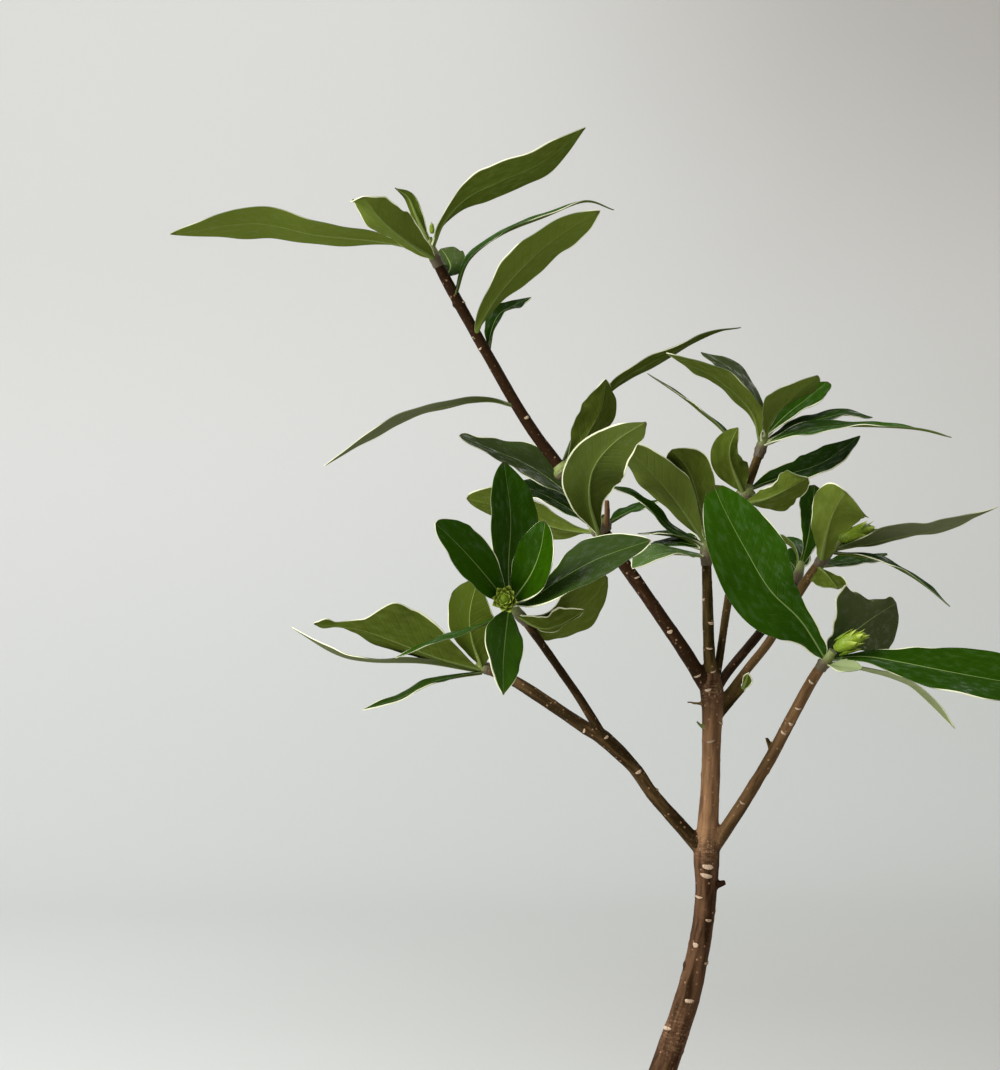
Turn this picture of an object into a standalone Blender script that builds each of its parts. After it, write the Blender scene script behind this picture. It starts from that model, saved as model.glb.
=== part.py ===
"""Potted winter daphne: a small shrub with whorls of glossy, pale-edged leaves on bare wood,
standing in the soil of a plain clay pot. Run with blender --background --python part.py."""

import math

import bmesh
import bpy
from mathutils import Matrix, Vector

# Sizes are in millimetres and MM turns them into metres. +X is right, +Y is away, +Z is up, and the
# origin is the middle of the pot's underside.
MM = 0.001
GAP = 0.3  # kept between pieces that touch

# Driving dimensions of the pot and soil.
POT_HEIGHT = 170.0
POT_RIM_RADIUS = 93.0
POT_FOOT_RADIUS = 64.0
POT_WALL = 7.0
POT_FLOOR = 12.0
COLLAR_HEIGHT = 24.0
COLLAR_PROUD = 4.0
POT_STEPS = 40
FLOOR_FILLET = 4.0
LIP_ROUND = 3.0
LIP_EASE = 5.0  # how far below the rim the inner wall starts to round over
COLLAR_ROUND = 2.0
FOOT_ROUND = 6.0
SOIL_LEVEL = 150.0
SOIL_CROWN = 2.0
SOIL_ROUGHNESS = 1.6
SOIL_STEPS = 24

# The plant is set out as it is seen from the front. Across and up are measured on the upright plane
# through the trunk, and a point is then moved along the line of sight to its own depth.
EYE = Vector((-48.0, -1200.0, 424.0))

# Driving dimensions of the leaves.
BLADE_THICKNESS = 0.7
STALK_WIDTH = 2.4
TIP_WIDTH = 1.4
BLADE_CELLS = (4, 7)  # across and along
NARROW_WIDTH = 18.0  # a blade up to this width has fewer cells
NARROW_CELLS = (2, 7)
FOLD_CURVE = 1.25  # 1 folds the blade flat along its midrib and 2 cups it
MARGIN_WAVES = 2.2  # waves along a leaf's margin
GOLDEN_ANGLE = 2.4  # the turn from one leaf or scale to the next

# Leaf scars on the wood.
SCAR_WIDTH = 3.4
SCAR_HEIGHT = 1.7
SCAR_SUNK = 0.42  # how deep a scar's middle lies in the wood
SCAR_DEPTH = 1.12  # half the thickness of a scar


def placed(across, up, depth):
    """The point seen at this place on the trunk's plane, moved along the line of sight."""
    seen = Vector((across, 0.0, up))
    return EYE + (seen - EYE) * ((depth - EYE.y) / -EYE.y)


def even_points(points, count):
    """Evenly spaced points on the smooth curve through the given ones, count steps in all.
    A fourth number of a point, such as a radius, is carried along."""
    steps = 12
    ends = [points[0] * 2 - points[1], *points, points[-1] * 2 - points[-2]]
    fine = []
    for a, b, c, d in zip(ends, ends[1:], ends[2:], ends[3:]):
        for step in range(steps):
            t = step / steps
            square = (2 * a - 5 * b + 4 * c - d) * t * t
            cube = (3 * b - a - 3 * c + d) * t**3
            fine.append((2 * b + (c - a) * t + square + cube) / 2)
    fine.append(points[-1])
    reach = [0.0]
    for one, other in zip(fine, fine[1:]):
        reach.append(reach[-1] + (other.xyz - one.xyz).length)
    even = []
    at = 0
    for step in range(count + 1):
        wanted = reach[-1] * step / count
        while at < len(fine) - 2 and reach[at + 1] < wanted:
            at += 1
        share = (wanted - reach[at]) / (reach[at + 1] - reach[at])
        even.append(fine[at].lerp(fine[at + 1], share))
    return even


def between(values, along):
    """The value at this place along a leaf, where values are spread evenly from base to tip."""
    if not isinstance(values, tuple):
        return values
    place = along * (len(values) - 1)
    low = min(int(place), len(values) - 2)
    return values[low] + (values[low + 1] - values[low]) * (place - low)


def material(name, colour, roughness):
    """A plain material of this colour."""
    made = bpy.data.materials.new(name)
    made.use_nodes = True
    shader = made.node_tree.nodes["Principled BSDF"]
    shader.inputs["Base Color"].default_value = (*colour, 1.0)
    shader.inputs["Roughness"].default_value = roughness
    shader.inputs["Metallic"].default_value = 0.0
    return made


def mesh_object(name, mesh, collection):
    """A new object for this mesh, in this collection."""
    obj = bpy.data.objects.new(name, mesh)
    collection.objects.link(obj)
    return obj


def baked(obj):
    """Applies the object's modifiers."""
    bpy.context.view_layer.update()
    graph = bpy.context.evaluated_depsgraph_get()
    mesh = bpy.data.meshes.new_from_object(obj.evaluated_get(graph))
    obj.modifiers.clear()
    obj.data = mesh
    return obj


def boolean(obj, operation, other, solver="MANIFOLD"):
    """Joins to the object, or cuts from it, another object or every object of a collection."""
    modifier = obj.modifiers.new(operation.title(), "BOOLEAN")
    modifier.operation = operation
    modifier.solver = solver
    if isinstance(other, bpy.types.Collection):
        modifier.operand_type = "COLLECTION"
        modifier.collection = other
    else:
        modifier.object = other
    return baked(obj)


def fused(name, objects, collection):
    """One object made of all of these, which are removed."""
    first = objects[0]
    rest = bpy.data.collections.new(name + " pieces")
    bpy.context.scene.collection.children.link(rest)
    for obj in objects[1:]:
        for home in list(obj.users_collection):
            home.objects.unlink(obj)
        rest.objects.link(obj)
    if objects[1:]:
        boolean(first, "UNION", rest)
    for obj in objects[1:]:
        bpy.data.objects.remove(obj)
    bpy.data.collections.remove(rest)
    for home in list(first.users_collection):
        home.objects.unlink(first)
    collection.objects.link(first)
    first.name = name
    return first


def tube(name, points, collection, sides, extra=0.0):
    """A round stem through points that carry their own radius, closed at both ends."""
    curve = bpy.data.curves.new(name, "CURVE")
    curve.dimensions = "3D"
    curve.bevel_depth = MM
    curve.bevel_resolution = (sides - 4) // 2
    curve.use_fill_caps = True
    spline = curve.splines.new("POLY")
    spline.points.add(len(points) - 1)
    for spline_point, point in zip(spline.points, points):
        spline_point.co = (*(point.xyz * MM), 1.0)
        spline_point.radius = point.w + extra
    shaped = mesh_object(name + " curve", curve, collection)
    bpy.context.view_layer.update()
    graph = bpy.context.evaluated_depsgraph_get()
    mesh = bpy.data.meshes.new_from_object(shaped.evaluated_get(graph))
    bpy.data.objects.remove(shaped)
    welder = bmesh.new()
    welder.from_mesh(mesh)
    bmesh.ops.remove_doubles(welder, verts=welder.verts, dist=0.00001)
    bmesh.ops.recalc_face_normals(welder, faces=welder.faces)
    welder.to_mesh(mesh)
    welder.free()
    return mesh_object(name, mesh, collection)


def turned(name, profile, steps, collection):
    """A solid turned round the upright axis from (radius, height) points, outer side downwards."""
    mesh = bpy.data.meshes.new(name)
    points = [(radius * MM, 0.0, height * MM) for radius, height in profile]
    mesh.from_pydata(points, [(i, i + 1) for i in range(len(points) - 1)], [])
    obj = mesh_object(name, mesh, collection)
    screw = obj.modifiers.new("Turn", "SCREW")
    screw.axis = "Z"
    screw.steps = steps
    screw.render_steps = steps
    screw.use_merge_vertices = True
    screw.merge_threshold = 0.00001
    return baked(obj)


# Each branch is a list of (across, up, depth, diameter) from where it springs to its end, and the
# number of its sides.
BRANCHES = {
    "trunk": (10, [
        (-4.5, 96, 2, 12.5), (-3.5, 120, 2, 12.8), (-1, 148, 1, 13.2), (3.2, 168, 1, 12.4),
        (10, 190, 0, 11.4), (18.6, 214, 0, 10.9), (26.7, 238, -1, 10.1), (30.6, 254, -1, 9.2),
        (33.4, 270, 0, 8.7), (34.6, 284, 0, 9.0), (34.6, 295, 0, 10.6), (35.0, 303, 0, 9.6),
        (35.4, 312, 0, 8.3), (36.2, 326, 0, 7.7), (36.6, 342, 0, 7.8), (37.0, 354, 0, 8.6),
        (36.8, 362, 1, 9.6), (36.8, 368, 2, 6.0)]),
    "left limb": (8, [
        (33.5, 297, 0, 6.0), (25.4, 306.4, -1, 5.8), (13, 320.4, -3, 5.2), (5.4, 331.2, -4, 5.4),
        (-6.6, 342.8, -6, 6.4), (-13, 346.4, -5, 5.4), (-22, 352.4, -3, 5.0), (-33, 359.8, 0, 4.9),
        (-43, 366, 2, 4.7), (-52.5, 370.2, 3, 4.2)]),
    "front left twig": (8, [
        (-6.2, 342, -6, 4.2), (-11, 350.4, -9, 3.9), (-17, 360, -14, 3.5), (-24.4, 370.6, -22, 3.4),
        (-32, 381.4, -33, 3.4), (-38, 389.6, -43, 3.4)]),
    "right limb": (8, [
        (37, 298, 0, 5.4), (41.5, 305, -2, 5.6), (49, 316.4, -6, 5.3), (55, 326.2, -10, 5.1),
        (60, 334.4, -14, 5.0), (64, 342, -17, 4.9), (70, 353.4, -22, 4.8), (76, 364.4, -28, 4.6),
        (80.4, 371.4, -32, 4.2)]),
    "long top limb": (8, [
        (36, 361, 1, 6.2), (26, 377.2, 2, 5.8), (17.8, 389.2, 4, 5.5), (9.8, 400.8, 6, 5.4),
        (1.2, 413, 8, 5.5), (-8, 427.4, 10, 5.3), (-18, 443, 12, 5.0), (-27, 455.2, 13, 4.9),
        (-34, 464.4, 13, 4.8), (-41.8, 476.6, 13, 4.7), (-49.8, 490.6, 13, 4.6),
        (-60, 508.6, 12, 4.6), (-69, 525, 11, 4.6), (-73.6, 534, 10, 4.2)]),
    "upright limb": (8, [
        (36.8, 362, 1, 5.2), (36, 371, 2, 5.0), (35.4, 384, 3, 4.8), (35, 399, 5, 4.4),
        (34.6, 413, 6, 4.0)]),
    "inner right limb": (8, [
        (38, 364, 2, 3.6), (40, 376, 6, 3.4), (42, 390, 11, 3.4), (43.8, 401, 14, 3.6),
        (46.8, 420, 20, 3.8), (49.4, 438, 24, 4.0), (52.6, 448, 27, 4.0), (55.6, 456.4, 29, 3.8)]),
    "back right limb": (8, [
        (38.4, 362, 3, 4.2), (43.4, 369.6, 12, 4.0), (55.6, 384.4, 32, 4.0), (65, 396.6, 48, 3.8),
        (70.2, 405.6, 56, 3.6)]),
    "outer right limb": (8, [
        (38, 356, 1, 3.8), (43.4, 360.6, 5, 3.7), (50.8, 370.2, 12, 3.7), (60.2, 382.2, 22, 3.8),
        (72.4, 402.4, 36, 4.2), (78.6, 411.4, 42, 4.0)]),
    "fork spur": (8, [(38.5, 350, 0, 3.0), (43, 355.4, 3, 2.8), (49.4, 362.6, 7, 2.4)]),
    "grey stub": (8, [(-6.4, 424, 9, 2.6), (-5.2, 431, 5, 2.5), (-5.2, 438, 3, 2.2)]),
    "pale spine": (8, [(35, 356.4, 0, 1.8), (31, 356.6, -1, 1.4), (26.6, 357.2, -2, 0.9)]),
    "green spine": (8, [(35.4, 345.6, 0, 1.8), (32.6, 347.4, -2, 1.5), (30.6, 349.6, -3, 1.1)]),
    "dark bud stub": (8, [(36, 283, 0, 2.6), (39.6, 284.2, -1, 2.8), (42.2, 285.2, -1, 2.2)]),
    "low bump": (8, [(29, 251, 0, 2.6), (25.4, 252.6, -1, 2.4)]),
    "limb bump": (8, [(61, 337, -14, 2.4), (58.6, 343, -15, 1.6)]),
    "top bump": (8, [(-63, 514, 12, 2.6), (-66.8, 516.4, 11, 2.0)]),
}
BRANCH_STEP = 12.0  # length of one straight piece of a branch

# Leaf scars: the branch, the height on it, and the angle round it. 0 faces the viewer, 90 the right.
SCARS = (
    ("trunk", 341.6, -10), ("trunk", 318, 150), ("trunk", 328, -120), ("trunk", 349, 60),
    ("trunk", 291.8, 2), ("trunk", 288.2, -6), ("trunk", 279.4, -48), ("trunk", 270.4, 24),
    ("trunk", 260, -25), ("trunk", 254, 65), ("trunk", 238.8, 8), ("trunk", 246, 180),
    ("trunk", 264, 200), ("trunk", 226, -60), ("trunk", 219, 110), ("trunk", 206, 15),
    ("trunk", 196, -150), ("trunk", 184, 70), ("trunk", 274, 130), ("trunk", 334, 175),
    ("left limb", 329.6, 10), ("left limb", 343, 20), ("left limb", 347, -30),
    ("left limb", 312, 170), ("left limb", 321, 80), ("left limb", 356, 150),
    ("right limb", 318, -15), ("right limb", 331, 120), ("right limb", 347.4, -70),
    ("right limb", 350.6, 10), ("right limb", 357.2, 40), ("right limb", 367.4, -10),
    ("right limb", 325, 190), ("long top limb", 368, -20), ("long top limb", 385.2, -10),
    ("long top limb", 396, 160), ("long top limb", 406, 30), ("long top limb", 471, 20),
    ("long top limb", 484, 170), ("long top limb", 500, -40), ("long top limb", 517, 60),
    ("upright limb", 378.4, 0), ("upright limb", 388.4, 30), ("upright limb", 398, -50),
    ("upright limb", 405, 150),
)


def branch_path(name):
    """The branch's centre line, each point with its radius."""
    points = []
    for across, up, depth, diameter in BRANCHES[name][1]:
        points.append(Vector((*placed(across, up, depth), diameter / 2)))
    length = sum((b.xyz - a.xyz).length for a, b in zip(points, points[1:]))
    return even_points(points, max(2, round(length / BRANCH_STEP)))


def scar(name, up, angle, collection):
    """A low oval bump where an old leaf dropped, on the branch at this height."""
    path = branch_path(name)
    height = placed(0.0, up, 0.0).z
    at = min(range(1, len(path) - 1), key=lambda i: abs(path[i].z - height))
    low, high = path[at - 1], path[at + 1]
    share = (height - low.z) / (high.z - low.z)
    centre = low.lerp(high, min(max(share, 0.0), 1.0))
    axis = (high.xyz - low.xyz).normalized()
    front = Vector((0, -1, 0))
    front = (front - axis * front.dot(axis)).normalized()
    outward = Matrix.Rotation(math.radians(angle), 3, axis) @ front
    turn = Matrix((axis.cross(outward), axis, outward)).transposed().to_4x4()
    size = Matrix.Diagonal((SCAR_WIDTH / 2, SCAR_HEIGHT / 2, SCAR_DEPTH, 1.0))
    place = Matrix.Translation((centre.xyz + outward * (centre.w - SCAR_SUNK)) * MM)
    bump = bmesh.new()
    scale = Matrix.Diagonal((MM, MM, MM, 1.0))
    bmesh.ops.create_icosphere(bump, subdivisions=1, radius=1.0, matrix=place @ scale @ turn @ size)
    mesh = bpy.data.meshes.new("scar")
    bump.to_mesh(mesh)
    bump.free()
    return mesh_object("scar", mesh, collection)


def wood(collection, cutters):
    """Makes the grown frame of trunk and branches, and gives the same frame a gap thicker."""
    pieces = []
    thicker = []
    for name, (sides, _) in BRANCHES.items():
        path = branch_path(name)
        pieces.append(tube(name, path, collection, sides))
        longer = list(path)
        longer[-1] = path[-1].copy()
        longer[-1].xyz += (path[-1].xyz - path[-2].xyz).normalized() * GAP
        thicker.append(tube(name + " clear", longer, collection, sides, GAP))
    for name, up, angle in SCARS:
        pieces.append(scar(name, up, angle, collection))
    frame = fused("stems", pieces, collection)
    frame.data.materials.clear()
    frame.data.materials.append(material("bark", (0.16, 0.085, 0.05), 0.7))
    return fused("stems clear", thicker, cutters)


def leaf(*midrib, width, turn, fold=12.0, wave=0.8, widest=0.56, taper=1.15, point=0.75,
         left=1.0, right=1.0):
    """A leaf. Its midrib is a list of (across, up, depth). Turn is the angle about the midrib: at 0
    the upper side faces the viewer, at 180 the underside does. Fold lifts both halves, and left and
    right are each half's width from base to tip, as a share of the plain outline's."""
    return {
        "midrib": midrib, "width": width, "turn": turn, "fold": fold, "wave": wave,
        "widest": widest, "taper": taper, "point": point, "left": left, "right": right,
    }


def half_width(one, along):
    """Half the blade's width here: a stalk, a long taper outwards, and a blunt point."""
    widest = one["widest"]
    if along < widest:
        swell = math.sin(math.pi / 2 * along / widest) ** one["taper"]
        return max(one["width"] / 2 * swell, STALK_WIDTH / 2)
    swell = max(math.cos(math.pi / 2 * (along - widest) / (1 - widest)), 0.0) ** one["point"]
    return max(one["width"] / 2 * swell, TIP_WIDTH / 2)


def blade_point(one, path, row, across, phase):
    """A point of the blade's middle sheet: across runs from -1 to 1, row from base to tip."""
    rows = len(path) - 1
    along = row / rows
    forward = (path[min(row + 1, rows)] - path[max(row - 1, 0)]).normalized()
    side = forward.cross(Vector((0, -1, 0))).normalized()
    facing = side.cross(forward)
    turn = math.radians(between(one["turn"], along))
    upper = facing * math.cos(turn) + side * math.sin(turn)
    wide = side * math.cos(turn) - facing * math.sin(turn)
    half = half_width(one, along) * between(one["right" if across > 0 else "left"], along)
    full = math.sin(math.pi * along)
    fold = math.radians(between(one["fold"], along)) * min(1.0, 2.0 * full)
    swing = math.sin(2 * math.pi * MARGIN_WAVES * along + phase + across)
    ripple = one["wave"] * full * across**2 * swing
    lift = half * math.sin(fold) * abs(across) ** FOLD_CURVE + ripple
    return path[row] + wide * (across * half * math.cos(fold)) + upper * lift


def blade(one, index, collection):
    """One leaf as a thin solid."""
    cells = NARROW_CELLS if one["width"] <= NARROW_WIDTH else BLADE_CELLS
    path = even_points([placed(*point) for point in one["midrib"]], cells[1])
    sheet = bmesh.new()
    bmesh.ops.create_grid(sheet, x_segments=cells[0], y_segments=cells[1], size=1.0)
    for vert in sheet.verts:
        row = round((vert.co.y + 1) / 2 * cells[1])
        vert.co = blade_point(one, path, row, vert.co.x, index * GOLDEN_ANGLE) * MM
    bmesh.ops.triangulate(sheet, faces=sheet.faces)
    mesh = bpy.data.meshes.new("blade")
    sheet.to_mesh(mesh)
    sheet.free()
    obj = mesh_object("blade", mesh, collection)
    thick = obj.modifiers.new("Thickness", "SOLIDIFY")
    thick.thickness = BLADE_THICKNESS * MM
    thick.offset = 0.0
    return baked(obj)


# The green leafy nodes. Each has its shoot, a short (across, up, depth, diameter) list that the
# leaves spring from, or none where a single leaf sits on the wood.
LEAFY = {
    "whorl_top_left": ([(-72.4, 531.4, 10.2, 5.6), (-75.2, 537.6, 9.4, 4.4), (-76.6, 543, 9, 2.8)], [
        leaf((-75.4, 537.6, 9.5), (-96, 542, 6), (-122, 544.6, 2), (-147, 549, -2), (-180, 544.4, -4),
             width=26, turn=(104, 112, 115, 116, 106), fold=5, widest=0.64, taper=1.5,
             left=(1, 1, 1, 0.95, 0.88, 0.8, 0.78, 0.85, 1)),
        leaf((-74.2, 534.6, 9.5), (-83.6, 540.6, -6), (-94, 549, -24), (-103, 559.4, -42),
             width=23, turn=142, fold=36, wave=1.4, widest=0.6, taper=0.9, point=0.55,
             left=(1, 0.9, 0.85, 0.8, 0.75, 0.75, 0.8, 0.8, 0.8),
             right=(1, 1, 1, 1, 1, 1.05, 1.15, 1.25, 1.3)),
        leaf((-76.4, 541.4, 9), (-81, 551, 6), (-84.6, 559, 4), (-90, 562.8, 2),
             width=6, turn=150, fold=20, wave=0.2, point=1.0),
        leaf((-75.2, 539.6, 9), (-70.8, 549.6, 2), (-61.4, 559.4, -4), (-48, 566, -9), (-31, 573.6, -14),
             (-13.8, 587, -18),
             width=25, turn=(-112, -115, -116, -114), fold=3, widest=0.56, taper=1.2, point=0.9,
             right=(1, 0.7, 0.68, 0.8, 0.95, 1, 1, 1.1, 1.1)),
    ]),
    "leaf_top_back": (None, [
        leaf((-69.4, 527.6, 12.4), (-67.8, 531.4, 22), (-69.4, 535.4, 34), (-71.6, 538.4, 44),
             width=14, turn=8, fold=10, taper=0.8),
    ]),
    "leaf_top_narrow": (None, [
        leaf((-66.4, 520, 10), (-61, 534.2, 15), (-48, 544.4, 21), (-30, 551.6, 27), (-14, 557.4, 31),
             (-2.4, 554, 33), width=17, turn=(-76, -78, -82, -84), fold=6, wave=0.5),
    ]),
    "leaf_top_broad": (None, [
        leaf((-58.4, 503, 12), (-54.6, 512, 8), (-46, 524.2, 0), (-33, 537.4, -9), (-20, 547, -16),
             (-8, 553.8, -22),
             width=24, turn=(-124, -122, -122, -126), fold=5, widest=0.52, taper=1.1, point=0.7,
             left=(1, 1, 1, 1, 1.05, 1.15, 1.25, 1.2, 1), right=(1, 0.9, 0.8, 0.82, 0.9, 0.95, 1, 1, 1)),
    ]),
    "leaf_top_young": (None, [
        leaf((-53, 498, 13), (-51.4, 506, 19), (-48.2, 512.4, 28), (-42, 516, 37), (-35.6, 519, 44),
             width=12, turn=-58, fold=12, wave=0.4),
    ]),
    "leaf_far_left": (None, [
        leaf((-41.6, 476, 13), (-54, 478.2, 10), (-76, 474.4, 4), (-97, 465.2, -3), (-118.4, 451.6, -8),
             width=18.5, turn=(96, 98, 99, 96), fold=4, wave=0.5, widest=0.5),
    ]),
    "whorl_mid_low": ([(-5.4, 423.6, 9.6, 8.6), (-8, 427.4, 10, 9.6), (-10.4, 431, 10.4, 8.6)], [
        leaf((-10.4, 430, 13), (-22, 441.4, 22), (-36, 451.6, 28), (-50, 457.6, 29), (-64.4, 463.6, 24),
             width=25, turn=(62, 60, 58, 66), fold=12, wave=1, widest=0.55, point=0.6,
             left=(1, 1, 1, 1, 1, 1, 0.9, 0.6, 1.2), right=(1, 1, 1, 1, 1, 1, 0.85, 0.6, 1.2)),
        leaf((-10.8, 428, 13), (-23, 436, 24), (-34, 441.6, 33), (-45, 445, 40),
             width=22, turn=62, fold=10),
        leaf((-10.4, 425.4, 13), (-26, 427.6, 28), (-43, 434.4, 42), (-61.4, 438.6, 50),
             width=24, turn=(120, 124, 128), fold=8, widest=0.6, point=0.55),
        leaf((-8.6, 424.4, 7.6), (-12.2, 438, -4), (-10.4, 451, -16), (-1.8, 461.4, -25), (10.4, 469.2, -31),
             width=27.5, turn=(178, 176, 172, 165), fold=6, wave=1, widest=0.44, taper=1, point=1,
             left=(1, 0.55, 0.55, 0.7, 0.9, 1, 1.1, 1.4, 3),
             right=(1, 0.7, 0.75, 0.84, 0.83, 0.82, 0.82, 0.9, 1)),
        leaf((-5.4, 428.8, 11), (4, 433.6, 22), (15.4, 438, 34),
             width=13, turn=-74, fold=8, wave=0.4),
    ]),
    "whorl_mid_high": ([(-20.4, 446.6, 12.2, 8.0), (-22.4, 449.4, 12.4, 8.6), (-24.6, 452.2, 12.6, 7.8)],
    [
        leaf((-24, 451.6, 14), (-14.6, 471.4, 21), (-2, 484.6, 25), (10.4, 492.4, 27), (24, 499, 28),
             (37, 505, 27), (48.4, 507, 25),
             width=17.5, turn=(-90, -96, -104, -108, -96, -86), fold=4, wave=0.9, widest=0.66, taper=1.3,
             left=(1, 0.9, 0.7, 0.6, 0.8, 1.5, 1.3, 1, 1), right=(1, 0.9, 0.7, 0.5, 0.5, 0.7, 1, 1, 1)),
        leaf((-22, 452.4, 14.6), (-13.8, 464, 16), (-7.8, 475, 14), (-5.8, 486.4, 10),
             width=17.5, turn=(-130, -138, -142), fold=14, widest=0.58,
             left=(1, 1.1, 1.25, 1.35, 1.35, 1.3, 1.2, 1, 1)),
    ]),
    "whorl_centre": ([(34.6, 411.6, 6, 5.4), (34.4, 417, 6.4, 5.0), (34.2, 424.4, 7, 3.4)], [
        leaf((34, 420.4, 6), (21, 426.2, 2), (12.4, 434, -1), (4.4, 440.4, -1), (-4.6, 443.4, -1),
             width=18, turn=(72, 76, 78), fold=8, wave=0.5),
        leaf((33.6, 422, 6), (22.6, 438, 2), (10.6, 451.6, -4), (-1, 462, -9),
             width=25, turn=(140, 126, 122), fold=8, wave=0.8, widest=0.58),
        leaf((34, 423, 6), (31.6, 438, 2), (27.6, 450, -3), (20.8, 458.2, -9),
             width=22, turn=(155, 145, 150), fold=24, wave=1, widest=0.6, point=0.6,
             left=(1, 0.9, 0.85, 0.8, 0.8, 0.8, 0.85, 0.9, 1)),
        leaf((34, 416, 6), (24, 416.8, -4), (15, 416, -13), (5, 410.6, -22),
             width=20, turn=(80, 76, 66), fold=8, wave=0.6),
        leaf((34, 417.8, 7), (27, 422.6, 14), (17, 424.4, 26), (7.4, 424.6, 38),
             width=16, turn=(80, 84, 84), fold=6, wave=0.4),
        leaf((34, 418.6, 7), (25, 420.8, 16), (14, 421.4, 34),
             width=18, turn=(60, 70, 74), fold=8, wave=0.4),
    ]),
    "whorl_high_right": ([(55.2, 455, 28.8, 5.6), (56.8, 460, 29.6, 4.6), (57.8, 465, 30, 3.0)], [
        leaf((56.4, 461.6, 29), (53.2, 473.4, 22), (42.6, 484.2, 14), (30.6, 491.4, 8), (18.6, 496.8, 4),
             width=21, turn=(118, 108, 106, 106), fold=5, wave=0.7, widest=0.5, point=0.9,
             right=(1, 1, 0.95, 0.9, 0.88, 0.9, 1, 1, 1)),
        leaf((56.8, 464, 31), (52.6, 479, 40), (44.6, 490, 48), (32.4, 497, 54),
             width=21, turn=(60, 62, 66), fold=8, wave=0.6,
             right=(1, 0.9, 0.8, 0.75, 0.75, 0.8, 0.85, 0.9, 1)),
        leaf((57.4, 463.6, 29), (61.6, 472, 20), (69, 479.6, 8), (79, 487.8, -4),
             width=23, turn=(-118, -116, -120), fold=10, wave=0.8, widest=0.55,
             left=(1, 1.2, 1.4, 1.5, 1.5, 1.3, 1.2, 1.1, 1), right=(1, 0.75, 0.75, 0.85, 0.95, 1, 1, 1, 1)),
        leaf((57.6, 463, 31), (66, 471.6, 42), (76, 479.4, 54), (83, 485.2, 62),
             width=19, turn=(-52, -56, -50), fold=10, wave=0.6, widest=0.6, point=0.55,
             right=(1, 0.8, 0.8, 0.8, 0.8, 0.85, 0.85, 0.9, 1)),
        leaf((57.4, 461.6, 30.6), (71, 467.4, 38), (87.6, 472, 45), (101, 471, 49),
             width=18.5, turn=(-72, -76, -74), fold=8, wave=0.6),
        leaf((57, 460.2, 28.6), (72, 465.8, 24), (88, 467.8, 19), (104, 467.6, 14), (120, 466.2, 10),
             (132.6, 463, 8),
             width=23, turn=(-66, -70, -76, -86, -94), fold=8, wave=0.7, widest=0.42, point=1.1,
             left=(1, 0.8, 0.7, 0.6, 0.55, 0.6, 0.8, 1, 1)),
    ]),
    "whorl_behind": ([(48.8, 434.6, 23.4, 7.0), (49.8, 439.2, 24.4, 8.0), (51.4, 443.8, 25.8, 7.0)], [
        leaf((51.4, 442.6, 27.6), (66, 447.8, 38), (80, 452.4, 49), (89.4, 458.6, 57), (96, 463.6, 62),
             width=19.5, turn=(-62, -66, -68), fold=8, wave=0.7, widest=0.5,
             left=(1, 1, 1, 1, 1, 1.2, 1.6, 2, 1.6), right=(1, 1, 1.15, 1.3, 1.3, 1.25, 1.2, 1.2, 1.1)),
        leaf((50.6, 437, 22.4), (58.4, 438.8, 12), (67, 442.8, 3), (75, 447, -5),
             width=24, turn=(-150, -146, -138), fold=26, wave=0.8, widest=0.5,
             left=(1, 1.4, 1.5, 1.2, 1, 1, 1, 1, 1), right=(1, 0.5, 0.4, 0.35, 0.35, 0.45, 0.7, 1, 1)),
        leaf((49, 441.6, 22), (44.8, 451.6, 17), (44, 459, 12), (47.2, 467, 8),
             width=17, turn=(165, 160, 158), fold=10, wave=0.8, widest=0.5, taper=0.8,
             left=(1, 1, 0.9, 0.8, 0.6, 0.45, 0.4, 0.5, 0.6)),
        leaf((50, 444, 27.4), (43.6, 463, 38), (32, 473.8, 45), (24, 480, 48), (11, 488.6, 52),
             width=14, turn=84, fold=6, wave=0.4),
    ]),
    "whorl_right": ([(78.2, 410, 41.6, 5.8), (82.6, 416.4, 44, 4.8), (87.4, 421.2, 46, 3.6)], [
        leaf((80.6, 413.6, 42), (83, 425.6, 30), (86.6, 435.4, 17), (90.4, 441.4, 5),
             width=25, turn=(165, 160, 158), fold=14, wave=1.2, widest=0.6, taper=0.75, point=0.5,
             left=(1, 0.7, 0.55, 0.52, 0.72, 0.86, 1.05, 1.5, 1.2),
             right=(1, 0.6, 0.65, 0.75, 0.83, 0.87, 0.88, 0.9, 1)),
        leaf((85.6, 418.6, 45), (100, 421.2, 43), (112, 424, 40), (125, 426, 37), (137, 429.4, 33),
             (151.4, 435.4, 29),
             width=23, turn=(-112, -108, -106, -104), fold=8, wave=0.7, widest=0.45, point=1.0),
        leaf((85.6, 417.4, 45), (102, 415, 42), (114, 409.4, 37), (123, 403.2, 31), (132, 395.4, 24),
             width=15, turn=(-80, -81, -82), fold=6, wave=0.5),
        leaf((80.6, 412, 43), (88.4, 412.6, 50), (98, 414.2, 59), (106.6, 416.6, 67),
             width=18, turn=(-70, -74, -76), fold=8, wave=0.5),
        leaf((79.6, 410.4, 41), (82.2, 408, 31), (84.8, 405, 22), (87, 402.4, 14),
             width=15, turn=(158, 150, 146), fold=12, wave=0.6),
    ]),
    "whorl_right_back": ([(69.4, 404.2, 54.8, 5.4), (71.4, 408.4, 58, 4.4), (72.6, 413, 61, 2.8)], [
        leaf((72, 410.4, 60), (74.8, 421, 66), (76.8, 433, 72), (77.8, 444, 76),
             width=15, turn=(15, 20, 25), fold=10, wave=0.8, widest=0.7, point=0.5,
             left=(1, 0.4, 0.4, 0.5, 0.7, 0.9, 1, 1, 1)),
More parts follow.
